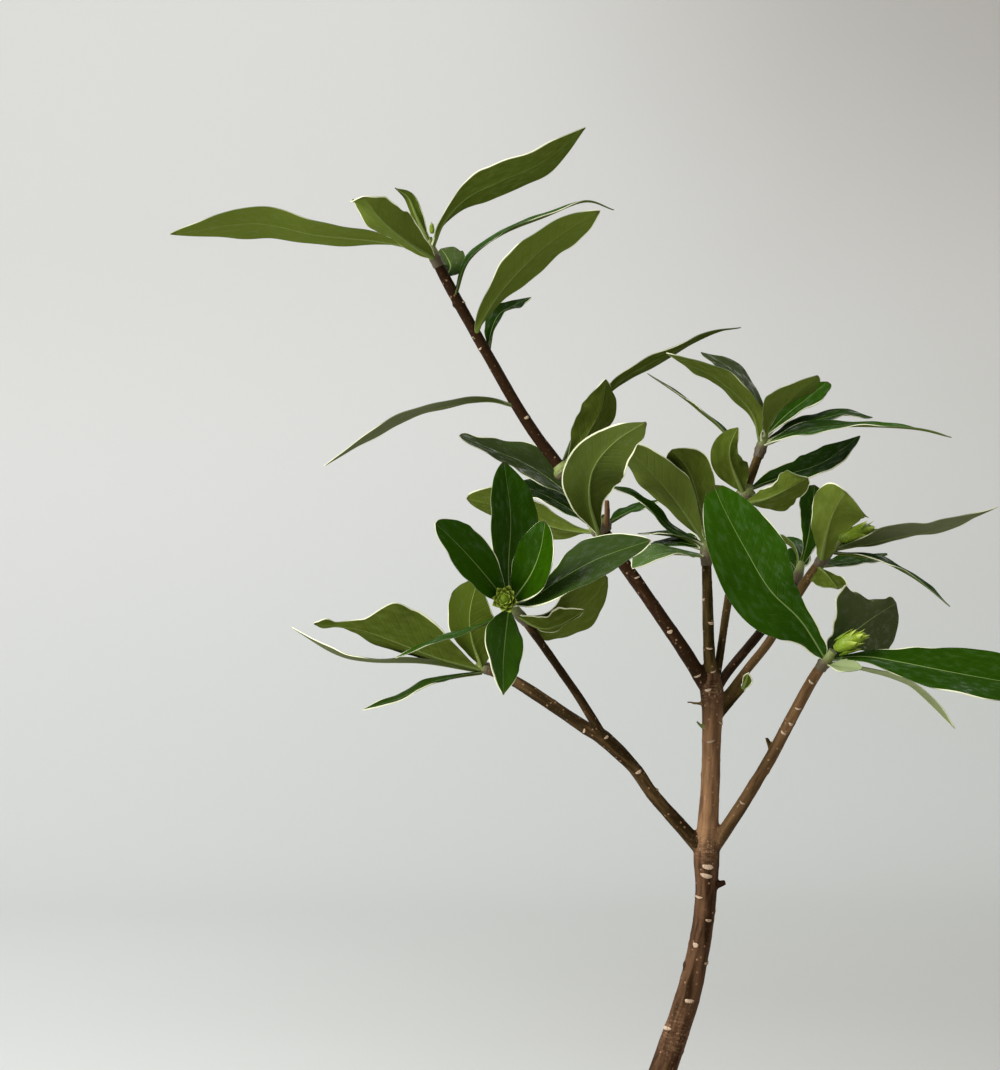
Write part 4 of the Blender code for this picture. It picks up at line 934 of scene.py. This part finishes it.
def leaf_side(name, roughness, dark, light, dull_and_sheen_colour, rib_colour, veined, rib_width, depth, glossy, coat_rough):
    """The finish of one side of the leaves."""
    made, tree, shader = finish(name, roughness, Specular_IOR_Level=0.0, Coat_Roughness=coat_rough)
    lines = add_node(tree, "ShaderNodeGroup", {"Rib Width": rib_width}, node_tree=BLADE_LINES).outputs
    mottle = lines["Mottle"]
    tone, along = mark(tree, "tone"), mark(tree, "along")
    share = sum_of("ADD", sum_of("SUBTRACT", tone, 0.3), times(mottle, 0.6))
    # Leaves of tone below 0 turn greyer towards the tip: partly an aged tone, partly a painted sheen.
    dull_and_sheen = times(smooth_step(tone, 0.0, -1.0), smooth_step(along, 0.1, 0.5, 0.3, 1.0))
    paint(
        shader, colour_between(smooth_step(share, 0.1, 0.9), dark, light),
        (smooth_step(tone, 1.0, 2.0), (0.33, 0.385, 0.19)),  # young
        (dull_and_sheen, dull_and_sheen_colour),
        (times(lines["Veins"], veined), rib_colour),
        (times(lines["Rib"], 0.8), rib_colour),
        (lines["Margin"], (0.86, 0.87, 0.58)),
        (smooth_step(along, 0.965, 0.995, 0.0, 0.7), (0.06, 0.045, 0.015)),  # brown tip
    )
    waxy = times(times(mark(tree, "shine"), glossy), smooth_step(mottle, 0.5, 0.64, 0.5, 3.2))
    feed(shader, "Coat Weight", sum_of("MINIMUM", waxy, 1.0))
    feed(shader, "Roughness", smooth_step(mottle, 0.3, 0.7, roughness - 0.07, roughness + 0.12))
    height = sum_of("MULTIPLY_ADD", lines["Veins"], -1.0, times(lines["Cells"], 0.35))
    relief(shader, height, depth)
    return made


LEAF_ABOVE = leaf_side(
    "leaf_above", 0.5, dark=(0.012, 0.038, 0.0008), light=(0.026, 0.083, 0.0008), dull_and_sheen_colour=(0.068, 0.086, 0.027),
    rib_colour=(0.24, 0.34, 0.10), veined=0.015, rib_width=0.32, depth=0.00006, glossy=1.0, coat_rough=0.22,
)
LEAF_BELOW = leaf_side(
    "leaf_below", 0.6, dark=(0.049, 0.071, 0.006), light=(0.125, 0.168, 0.022), dull_and_sheen_colour=(0.155, 0.175, 0.085),
    rib_colour=(0.20, 0.26, 0.07), veined=0.03, rib_width=0.45, depth=0.00008, glossy=0.5, coat_rough=0.5,
)
LEAF_MARGIN, tree, shader = finish("leaf_margin", 0.5)
grain = grain_at(tree, 1500.0)["Grain"]
slow = noise_at(own_place(tree), 34.0, 1.0)
paint(
    shader, colour_between(grain, (0.74, 0.76, 0.46), (0.92, 0.90, 0.66)),
    (smooth_step(slow, 0.48, 0.58, 0.92, 0.0), (0.05, 0.09, 0.008)),
)

SHOOT_GREEN, tree, shader = finish("green_shoot", 0.5)
rough = grain_at(tree, 1300.0)
grain, clouds = rough["Grain"], rough["Clouds"]
green = colour_between(clouds, (0.13, 0.17, 0.03), (0.24, 0.28, 0.08))
brown = colour_between(clouds, (0.05, 0.035, 0.013), (0.13, 0.095, 0.042))
ripe = sum_of("ADD", mark(tree, "along"), sum_of("MULTIPLY_ADD", grain, 0.3, -0.15))
paint(shader, brown, (smooth_step(ripe, 0.3, 0.75), green))
relief(shader, grain, 0.0004)


# The whorl at the tip of the long limb: two long leaves that reach out left and right, one that
# comes forward, and a tiny young one, all from one green shoot.
whorl(
    "top_left_leaves", "whorl_top_left",
    leaf((-75.4, 537.6, 9.5), (-96, 542, 6), (-122, 544.6, 2), (-147, 549, -2), (-180, 544.4, -4),
         width=26, turn=(104, 112, 115, 116, 106), fold=5, widest=0.64, taper=1.5,
         left=(1, 1, 1, 0.95, 0.88, 0.8, 0.78, 0.85, 1), tone=0.9),
    leaf((-74.2, 534.6, 9.5), (-83.6, 540.6, -6), (-94, 549, -24), (-103, 559.4, -42),
         width=23, turn=142, fold=36, wave=1.4, widest=0.6, taper=0.9, point=0.55,
         left=(1, 0.9, 0.85, 0.8, 0.75, 0.75, 0.8, 0.8, 0.8), right=(1, 1, 1, 1, 1, 1.05, 1.15, 1.25, 1.3),
         tone=0.8),
    leaf((-76.4, 541.4, 9), (-81, 551, 6), (-84.6, 559, 4), (-90, 562.8, 2),
         width=6, turn=150, fold=20, wave=0.2, point=1),
    leaf((-75.2, 539.6, 9), (-70.8, 549.6, 2), (-61.4, 559.4, -4), (-48, 566, -9), (-31, 573.6, -14),
         (-13.8, 587, -18),
         width=25, turn=(-112, -115, -116, -114), fold=3, taper=1.2, point=0.9,
         right=(1, 0.7, 0.68, 0.8, 0.95, 1, 1, 1.1, 1.1)),
    shoot=((-72.4, 531.4, 10.2, 5.6), (-75.2, 537.6, 9.4, 4.4), (-76.6, 543, 9, 2.8)),
)

# Four leaves sit singly on the bark below that tip: this one points away from the viewer.
whorl(
    "top_back_leaf", "leaf_top_back",
    leaf((-69.4, 527.6, 12.4), (-67.8, 531.4, 22), (-69.4, 535.4, 34), (-71.6, 538.4, 44),
         width=14, turn=8, fold=10, taper=0.8, tone=-0.5),
)

# A narrow leaf, seen nearly edge on, that arches over to the right.
whorl(
    "top_narrow_leaf", "leaf_top_narrow",
    leaf((-66.4, 520, 10), (-61, 534.2, 15), (-48, 544.4, 21), (-30, 551.6, 27), (-14, 557.4, 31),
         (-2.4, 554, 33),
         width=17, turn=(-76, -78, -82, -84), fold=6, wave=0.5),
)

# A broad leaf that rises to the right and shows its underside.
whorl(
    "top_broad_leaf", "leaf_top_broad",
    leaf((-58.4, 503, 12), (-54.6, 512, 8), (-46, 524.2, 0), (-33, 537.4, -9), (-20, 547, -16),
         (-8, 553.8, -22),
         width=24, turn=(-124, -122, -122, -126), fold=5, widest=0.52, taper=1.1, point=0.7,
         left=(1, 1, 1, 1, 1.05, 1.15, 1.25, 1.2, 1), right=(1, 0.9, 0.8, 0.82, 0.9, 0.95, 1, 1, 1),
         tone=0.85),
)

# A small young leaf on the same limb that points back and to the right.
whorl(
    "top_young_leaf", "leaf_top_young",
    leaf((-53, 498, 13), (-51.4, 506, 19), (-48.2, 512.4, 28), (-42, 516, 37), (-35.6, 519, 44),
         width=12, turn=-58, wave=0.4, tone=0.1),
)

# One long arching leaf that springs to the left from the middle of the long limb.
whorl(
    "far_left_leaf", "leaf_far_left",
    leaf((-41.6, 476, 13), (-54, 478.2, 10), (-76, 474.4, 4), (-97, 465.2, -3), (-118.4, 451.6, -8),
         width=18.5, turn=(96, 98, 99, 96), fold=4, wave=0.5, widest=0.5, tone=-0.9),
)

# The lower of two whorls on the long limb: five leaves, the broadest of them with its underside
# to the viewer.
whorl(
    "middle_low_leaves", "whorl_mid_low",
    leaf((-10.4, 430, 13), (-22, 441.4, 22), (-36, 451.6, 28), (-50, 457.6, 29), (-64.4, 463.6, 24),
         width=25, turn=(62, 60, 58, 66), wave=1, widest=0.55, point=0.6,
         left=(1, 1, 1, 1, 1, 1, 0.9, 0.6, 1.2), right=(1, 1, 1, 1, 1, 1, 0.85, 0.6, 1.2), tone=-0.5,
         shine=0.2),
    leaf((-10.8, 428, 13), (-23, 436, 24), (-34, 441.6, 33), (-45, 445, 40),
         width=22, turn=62, fold=10, tone=-0.2, shine=0.2),
    leaf((-10.4, 425.4, 13), (-26, 427.6, 28), (-43, 434.4, 42), (-61.4, 438.6, 50),
         width=24, turn=(120, 124, 128), fold=8, widest=0.6, point=0.55, tone=0.7),
    leaf((-8.6, 424.4, 7.6), (-12.2, 438, -4), (-10.4, 451, -16), (-1.8, 461.4, -25), (10.4, 469.2, -31),
         width=27.5, turn=(178, 176, 172, 165), fold=6, wave=1, widest=0.44, taper=1, point=1,
         left=(1, 0.55, 0.55, 0.7, 0.9, 1, 1.1, 1.4, 3),
         right=(1, 0.7, 0.75, 0.84, 0.83, 0.82, 0.82, 0.9, 1), tone=-0.25),
    leaf((-5.4, 428.8, 11), (4, 433.6, 22), (15.4, 438, 34),
         width=13, turn=-74, fold=8, wave=0.4),
    shoot=((-5.4, 423.6, 9.6, 8.6), (-8, 427.4, 10, 9.6), (-10.4, 431, 10.4, 8.6)),
)

# Just above it on the same limb, a very long leaf that arches over to the right, and an upright
# one in front of it.
whorl(
    "middle_high_leaves", "whorl_mid_high",
    leaf((-24, 451.6, 14), (-14.6, 471.4, 21), (-2, 484.6, 25), (10.4, 492.4, 27), (24, 499, 28),
         (37, 505, 27), (48.4, 507, 25),
         width=17.5, turn=(-90, -96, -104, -108, -96, -86), fold=4, wave=0.9, widest=0.66, taper=1.3,
         left=(1, 0.9, 0.7, 0.6, 0.8, 1.5, 1.3, 1, 1), right=(1, 0.9, 0.7, 0.5, 0.5, 0.7, 1, 1, 1)),
    leaf((-22, 452.4, 14.6), (-13.8, 464, 16), (-7.8, 475, 14), (-5.8, 486.4, 10),
         width=17.5, turn=(-130, -138, -142), fold=14, widest=0.58,
         left=(1, 1.1, 1.25, 1.35, 1.35, 1.3, 1.2, 1, 1)),
    shoot=((-20.4, 446.6, 12.2, 8), (-22.4, 449.4, 12.4, 8.6), (-24.6, 452.2, 12.6, 7.8)),
)

# The whorl on the upright limb, where the dark wood gives way to a pale green shoot.
whorl(
    "centre_leaves", "whorl_centre",
    leaf((34, 420.4, 6), (21, 426.2, 2), (12.4, 434, -1), (4.4, 440.4, -1), (-4.6, 443.4, -1),
         width=18, turn=(72, 76, 78), fold=8, wave=0.5),
    leaf((33.6, 422, 6), (22.6, 438, 2), (10.6, 451.6, -4), (-1, 462, -9),
         width=25, turn=(140, 126, 122), fold=8, widest=0.58, tone=1.05),
    leaf((34, 423, 6), (31.6, 438, 2), (27.6, 450, -3), (20.8, 458.2, -9),
         width=22, turn=(155, 145, 150), fold=24, wave=1, widest=0.6, point=0.6,
         left=(1, 0.9, 0.85, 0.8, 0.8, 0.8, 0.85, 0.9, 1), tone=0.6),
    leaf((34, 416, 6), (24, 416.8, -4), (15, 416, -13), (5, 410.6, -22),
         width=20, turn=(80, 76, 66), fold=8, wave=0.6, tone=1.15, shine=0.3),
    leaf((34, 417.8, 7), (27, 422.6, 14), (17, 424.4, 26), (7.4, 424.6, 38),
         width=16, turn=(80, 84, 84), fold=6, wave=0.4),
    leaf((34, 418.6, 7), (25, 420.8, 16), (14, 421.4, 34),
         width=18, turn=(60, 70, 74), fold=8, wave=0.4),
    shoot=((34.6, 411.6, 6, 5.4), (34.4, 417, 6.4, 5), (34.2, 424.4, 7, 3.4)),
)

# The whorl at the tip of the inner right limb: six leaves that spread all round.
whorl(
    "high_right_leaves", "whorl_high_right",
    leaf((56.4, 461.6, 29), (53.2, 473.4, 22), (42.6, 484.2, 14), (30.6, 491.4, 8), (18.6, 496.8, 4),
         width=21, turn=(118, 108, 106, 106), fold=5, wave=0.7, widest=0.5, point=0.9,
         right=(1, 1, 0.95, 0.9, 0.88, 0.9, 1, 1, 1), tone=0.7),
    leaf((56.8, 464, 31), (52.6, 479, 40), (44.6, 490, 48), (32.4, 497, 54),
         width=21, turn=(60, 62, 66), fold=8, wave=0.6, right=(1, 0.9, 0.8, 0.75, 0.75, 0.8, 0.85, 0.9, 1),
         tone=-0.7),
    leaf((57.4, 463.6, 29), (61.6, 472, 20), (69, 479.6, 8), (79, 487.8, -4),
         width=23, turn=(-118, -116, -120), fold=10, widest=0.55,
         left=(1, 1.2, 1.4, 1.5, 1.5, 1.3, 1.2, 1.1, 1), right=(1, 0.75, 0.75, 0.85, 0.95, 1, 1, 1, 1),
         tone=1.2),
    leaf((57.6, 463, 31), (66, 471.6, 42), (76, 479.4, 54), (83, 485.2, 62),
         width=19, turn=(-52, -56, -50), fold=10, wave=0.6, widest=0.6, point=0.55,
         right=(1, 0.8, 0.8, 0.8, 0.8, 0.85, 0.85, 0.9, 1)),
    leaf((57.4, 461.6, 30.6), (71, 467.4, 38), (87.6, 472, 45), (101, 471, 49),
         width=18.5, turn=(-72, -76, -74), fold=8, wave=0.6, shine=0.16, tone=0.2),
    leaf((57, 460.2, 28.6), (72, 465.8, 24), (88, 467.8, 19), (104, 467.6, 14), (120, 466.2, 10),
         (132.6, 463, 8),
         width=23, turn=(-66, -70, -76, -86, -94), fold=8, wave=0.7, widest=0.42, point=1.1,
         left=(1, 0.8, 0.7, 0.6, 0.55, 0.6, 0.8, 1, 1), shine=0.2, tone=1.1),
    shoot=((55.2, 455, 28.8, 5.6), (56.8, 460, 29.6, 4.6), (57.8, 465, 30, 3)),
)

# A looser whorl lower on that limb, half hidden behind the centre one.
whorl(
    "behind_leaves", "whorl_behind",
    leaf((51.4, 442.6, 27.6), (66, 447.8, 38), (80, 452.4, 49), (89.4, 458.6, 57), (96, 463.6, 62),
         width=19.5, turn=(-62, -66, -68), fold=8, wave=0.7, widest=0.5,
         left=(1, 1, 1, 1, 1, 1.2, 1.6, 2, 1.6), right=(1, 1, 1.15, 1.3, 1.3, 1.25, 1.2, 1.2, 1.1),
         tone=0.1, shine=0.06),
    leaf((50.6, 437, 22.4), (58.4, 438.8, 12), (67, 442.8, 3), (75, 447, -5),
         width=24, turn=(-150, -146, -138), fold=26, widest=0.5, left=(1, 1.4, 1.5, 1.2, 1, 1, 1, 1, 1),
         right=(1, 0.5, 0.4, 0.35, 0.35, 0.45, 0.7, 1, 1)),
    leaf((49, 441.6, 22), (44.8, 451.6, 17), (44, 459, 12), (47.2, 467, 8),
         width=17, turn=(165, 160, 158), fold=10, widest=0.5, taper=0.8,
         left=(1, 1, 0.9, 0.8, 0.6, 0.45, 0.4, 0.5, 0.6)),
    leaf((50, 444, 27.4), (43.6, 463, 38), (32, 473.8, 45), (24, 480, 48), (11, 488.6, 52),
         width=14, turn=84, fold=6, wave=0.4),
    shoot=((48.8, 434.6, 23.4, 7), (49.8, 439.2, 24.4, 8), (51.4, 443.8, 25.8, 7)),
)

# The whorl at the tip of the outer right limb, with one cupped leaf that stands up in front of its bud.
whorl(
    "right_leaves", "whorl_right",
    leaf((80.6, 413.6, 42), (83, 425.6, 30), (86.6, 435.4, 17), (90.4, 441.4, 5),
         width=25, turn=(165, 160, 158), fold=14, wave=1.2, widest=0.6, taper=0.75, point=0.5,
         left=(1, 0.7, 0.55, 0.52, 0.72, 0.86, 1.05, 1.5, 1.2),
         right=(1, 0.6, 0.65, 0.75, 0.83, 0.87, 0.88, 0.9, 1), tone=0.75),
    leaf((85.6, 418.6, 45), (100, 421.2, 43), (112, 424, 40), (125, 426, 37), (137, 429.4, 33),
         (151.4, 435.4, 29),
         width=23, turn=(-112, -108, -106, -104), fold=8, wave=0.7, widest=0.45, point=1, tone=-1.0),
    leaf((85.6, 417.4, 45), (102, 415, 42), (114, 409.4, 37), (123, 403.2, 31), (132, 395.4, 24),
         width=15, turn=(-80, -81, -82), fold=6, wave=0.5),
    leaf((80.6, 412, 43), (88.4, 412.6, 50), (98, 414.2, 59), (106.6, 416.6, 67),
         width=18, turn=(-70, -74, -76), fold=8, wave=0.5),
    leaf((79.6, 410.4, 41), (82.2, 408, 31), (84.8, 405, 22), (87, 402.4, 14),
         width=15, turn=(158, 150, 146), wave=0.6),
    shoot=((78.2, 410, 41.6, 5.8), (82.6, 416.4, 44, 4.8), (87.4, 421.2, 46, 3.6)),
)

# A small whorl behind it, on the back right limb.
whorl(
    "right_back_leaves", "whorl_right_back",
    leaf((72, 410.4, 60), (74.8, 421, 66), (76.8, 433, 72), (77.8, 444, 76),
         width=15, turn=(15, 20, 25), fold=10, widest=0.7, point=0.5,
         left=(1, 0.4, 0.4, 0.5, 0.7, 0.9, 1, 1, 1)),
    leaf((71.4, 409.4, 60), (71.4, 416, 70), (67.4, 420.6, 82), (60, 423, 94),
         width=18, turn=(66, 70, 72), fold=8, wave=0.6),
    leaf((71.2, 408.6, 60), (69.4, 411.6, 74), (67.6, 413.6, 90), (66, 414, 106),
         width=18, turn=(10, 6, 4), fold=10, wave=0.6),
    shoot=((69.4, 404.2, 54.8, 5.4), (71.4, 408.4, 58, 4.4), (72.6, 413, 61, 2.8)),
)

# The whorl at the front right: the two biggest leaves of the plant, a crumpled upright leaf, a
# thin one that hangs, and a small one under the bud.
whorl(
    "front_right_leaves", "whorl_front_right",
    leaf((82, 374.6, -34.6), (72.2, 389.8, -42), (60, 402, -47), (50, 418.6, -50), (41.8, 434, -51),
         (37.4, 444, -51),
         width=31.5, turn=(0, 2, 0, -2), wave=0.9, widest=0.5, taper=0.78, point=0.55,
         left=(1, 0.72, 0.95, 1, 1, 1, 1, 1, 1), right=(1, 0.5, 0.42, 0.58, 0.78, 0.97, 1, 1, 1), tone=0.6,
         shine=0.2),
    leaf((83.8, 376.8, -32.6), (92.6, 384.4, -22), (101, 390.8, -8), (110.4, 396.8, 8),
         width=35, turn=(0, 4, 8), fold=(8, -6, -16), wave=1.6, widest=0.55, taper=0.6, point=0.5,
         left=(1, 0.55, 0.65, 0.95, 1, 0.75, 0.42, 0.35, 0.6),
         right=(1, 0.5, 0.5, 0.7, 0.85, 0.95, 1, 1.15, 1.2), tone=-0.95),
    leaf((83.6, 374.8, -33), (98, 375.4, -36), (112, 373.2, -39), (130, 369.6, -42), (152, 365.6, -44),
         (176.6, 361.6, -45),
         width=29, turn=(-58, -54, -50, -50), fold=8, widest=0.62, point=0.7,
         left=(1, 0.7, 0.72, 0.85, 1, 1, 1, 1, 1)),
    leaf((82.8, 373.4, -31), (98, 370.6, -25), (110.4, 366.8, -20), (120, 361.8, -17), (127.4, 354.4, -15),
         (134, 346.6, -14),
         width=13, turn=(-98, -98, -100, -104), fold=4, wave=0.4, tone=1.75),
    leaf((82, 372.8, -33), (89, 371.4, -38), (97, 370.6, -42),
         width=8, turn=(-60, -50, -50), fold=14, wave=0.2, tone=1.7),
    shoot=((80, 370.4, -31.6, 5.8), (82.6, 374.2, -33.4, 4.8), (85.2, 377.6, -35, 3.4)),
)

# The whorl at the front left faces the viewer: eight leaves round a bud.
whorl(
    "front_left_leaves", "whorl_front_left",
    leaf((-44.2, 397, -50), (-44.6, 412, -48), (-43.8, 432, -45), (-46.6, 453.4, -42),
         width=24, turn=(36, 40, 38), wave=0.6, widest=0.6, taper=1, tone=0.55),
    leaf((-44.6, 396.6, -51), (-56, 410.4, -62), (-65.4, 420.6, -72), (-74, 428.6, -82),
         width=23, turn=(44, 48, 44), fold=10, wave=0.5, widest=0.55, taper=0.9, point=0.55,
         right=(1, 1, 1, 1, 1, 0.95, 0.86, 0.8, 0.8), tone=0.75),
    leaf((-43.6, 397, -51.6), (-36, 407.6, -61), (-31.8, 418, -69), (-29.8, 429.6, -76),
         width=19, turn=(-30, -34, -36), fold=16, wave=0.5, widest=0.52, taper=0.85, point=0.6, tone=0.55),
    leaf((-43.4, 396, -51), (-35.4, 398.6, -55), (-23.6, 406.4, -59), (-8, 414.8, -61), (12.4, 421.8, -62),
         width=27, turn=(-48, -54, -55, -54), fold=8, wave=0.6, widest=0.54, point=0.65,
         left=(1, 0.5, 0.5, 0.65, 0.82, 0.92, 1, 1, 1), shine=0.7, tone=-0.4),
    leaf((-44.4, 395, -51), (-45.8, 384, -60), (-46.8, 372, -68), (-46.8, 360, -74),
         width=18, turn=(-34, -36, -34), fold=10, wave=0.6, widest=0.5, taper=0.9, point=0.9,
         left=(1, 1, 1, 0.92, 0.9, 0.9, 0.95, 1, 1), right=(1, 1, 1.1, 1.2, 1.15, 1.1, 1, 1, 1), tone=1.1),
    leaf((-43, 393.6, -48), (-52, 389.6, -50), (-64, 384.6, -51), (-79.6, 379.2, -52), (-89.8, 374.8, -52),
         width=16, turn=(86, 85, 83), fold=5, wave=0.4),
    leaf((-40.2, 391, -45), (-27, 389.6, -36), (-14, 396.6, -28), (-5, 407, -22),
         width=27, turn=(-130, -128, -124), fold=8, wave=1, widest=0.62, point=0.5,
         left=(1, 1.1, 1.2, 1.2, 1.2, 1.2, 1.3, 1.3, 1.2), tone=0.6),
    leaf((-41.2, 392.6, -47), (-32.4, 387.4, -46), (-24, 388.6, -44), (-14.4, 394, -42),
         width=15, turn=(-118, -122, -126), fold=20),
    shoot=((-37.4, 388.8, -42, 4.8), (-41.4, 393.4, -47, 4.2), (-44.8, 397.4, -53, 3.2)),
)

# The whorl at the end of the left limb, with one big folded leaf whose margin turns in and out.
whorl(
    "left_leaves", "whorl_left",
    leaf((-55, 371.4, 2), (-59, 383, -4), (-59.6, 394, -10), (-56.6, 406.4, -17),
         width=24, turn=(142, 138, 136), fold=14, widest=0.52, taper=0.8,
         right=(1, 1.1, 1.25, 1.35, 1.35, 1.3, 1.2, 1.1, 1), tone=0.0),
    leaf((-56, 370.6, 2.4), (-72, 375, -1), (-88.6, 381.2, -5), (-104, 386.4, -9), (-122.4, 388.6, -12),
         width=31, turn=(134, 130, 128, 120), fold=25, widest=0.48, taper=1.25, point=1.15,
         left=(1, 1, 1, 1, 1, 1.22, 0.5, 0.3, 3), right=(1, 1.2, 1.3, 1.15, 1.1, 1.25, 1.2, 0.6, 3),
         tone=0.45),
    leaf((-56, 370, 3.4), (-78, 373.4, 9), (-100, 373.8, 15), (-114, 376.8, 20), (-131.2, 387, 26),
         width=17, turn=(96, 97, 98), fold=6, wave=0.6, tone=-0.6),
    leaf((-55.4, 369.4, 2.4), (-66, 367.6, -1), (-76, 364.8, -5), (-88, 358.8, -10), (-102.8, 354, -15),
         width=16, turn=(84, 82, 80), fold=6, wave=0.4, tone=-0.3),
    shoot=((-51.4, 369.8, 3, 5.6), (-54.2, 371, 3, 4.8), (-57.6, 372.2, 2.6, 3.2)),
)

# A bud leaf that has just opened in the upper fork.
whorl(
    "fork_leaf", "leaf_fork",
    leaf((49, 362, 7), (50.6, 365.4, 5), (51.4, 369, 3),
         width=5, turn=150, fold=16, wave=0.1, point=1),
)


# The buds. Each is a tight cone of plump, pointed, yellow-green scales round a short core, and
# sits in the middle of its whorl. One scale is shaped, and each copy is leaned against the core.
BUD_CORE = ((0.0, 0.32), (0.25, 0.72), (0.55, 0.74), (0.8, 0.5), (0.97, 0.12))  # how far up, how wide
bpy.ops.object.select_all(action="DESELECT")
bpy.ops.mesh.primitive_uv_sphere_add(segments=16, ring_count=14, radius=1.0, location=(0, 0, 0))
bud_scale = bpy.context.object
for vert in bud_scale.data.vertices:
    high = (vert.co.z + 1) / 2
    taper = (1 - 0.93 * high**1.9) * (0.6 + 0.4 * min(1.0, high * 3))
    vert.co.x *= taper
    vert.co.y *= 0.20 * taper
    vert.co.y += 0.75 * vert.co.x**2 + 0.10 * high - 0.12 * high**4
    vert.co.z = high
marked(bud_scale, "tip", [vert.co.z for vert in bud_scale.data.vertices])

BUD_GREEN, tree, shader = finish("bud_green", 0.5, Specular_IOR_Level=0.25)
rough = grain_at(tree, 900.0)
grain, clouds = rough["Grain"], rough["Clouds"]
paint(
    shader, colour_between(smooth_step(clouds, 0.3, 0.7), (0.075, 0.145, 0.003), (0.22, 0.31, 0.008)),
    (smooth_step(grain, 0.5, 0.7, 0.0, 0.5), (0.34, 0.41, 0.05)),
    # The scale tips are painted paler: partly their own colour, partly a painted highlight against the bud's
    # self-shade.
    (smooth_step(mark(tree, "tip"), 0.6, 1.0, 0.0, 0.85), (0.55, 0.62, 0.12)),  # pale tips
)
relief(shader, clouds, 0.0006)


def bud(name, replaced, start, end, diameter, scales, spread):
    """A bud between two places, as wide as this, wrapped in this many scales. Spread is how far the
    lowest scales lean out."""
    low = placed(*start)
    axis = placed(*end) - low
    length = axis.length
    turn = axis.to_track_quat("Z", "Y").to_matrix().to_4x4()
    points = [Vector((*(low + axis * at), diameter / 2 * share)) for at, share in BUD_CORE]
    pieces = [stem(even_points(points, 10))]
    for index in range(scales):
        order = index / max(scales - 1, 1)
        made = copied(bud_scale)
        lean = math.radians(spread * (1 - 0.7 * order))
        tall = length * (0.66 + 0.08 * order)
        wide = diameter * (0.42 - 0.17 * order)
        size = Matrix.Diagonal((wide, wide, tall, 1.0))
        out = Matrix.Translation((0, -diameter * (0.38 - 0.26 * order), length * 0.36 * order))
        around = Matrix.Rotation(SPIRAL * index + 0.4, 4, "Z")
        place = Matrix.Translation(low * MM) @ Matrix.Diagonal((MM, MM, MM, 1.0)) @ turn
        made.data.transform(place @ around @ out @ Matrix.Rotation(lean, 4, "X") @ size)
        pieces.append(made)
    made = joined(pieces)
    made.data.materials.clear()
    made.data.materials.append(BUD_GREEN)
    bpy.ops.object.shade_smooth()
    riding(made, name, replaced)


bud("bud_top_left_scales", "bud_top_left", (-75.4, 544.6, 8), (-75.2, 549, 7), 2.6, 5, 13)
bud("bud_right_scales", "bud_right", (87.6, 421.6, 46.4), (102, 427.4, 49.8), 9.0, 11, 13)
bud("bud_front_right_scales", "bud_front_right", (86, 378.6, -35.6), (98.6, 384.6, -41), 8.4, 11, 9)
bud("bud_front_left_scales", "bud_front_left", (-45.6, 398.2, -57), (-46.6, 398.6, -66), 7.8, 24, 26)
bpy.data.objects.remove(bud_scale)
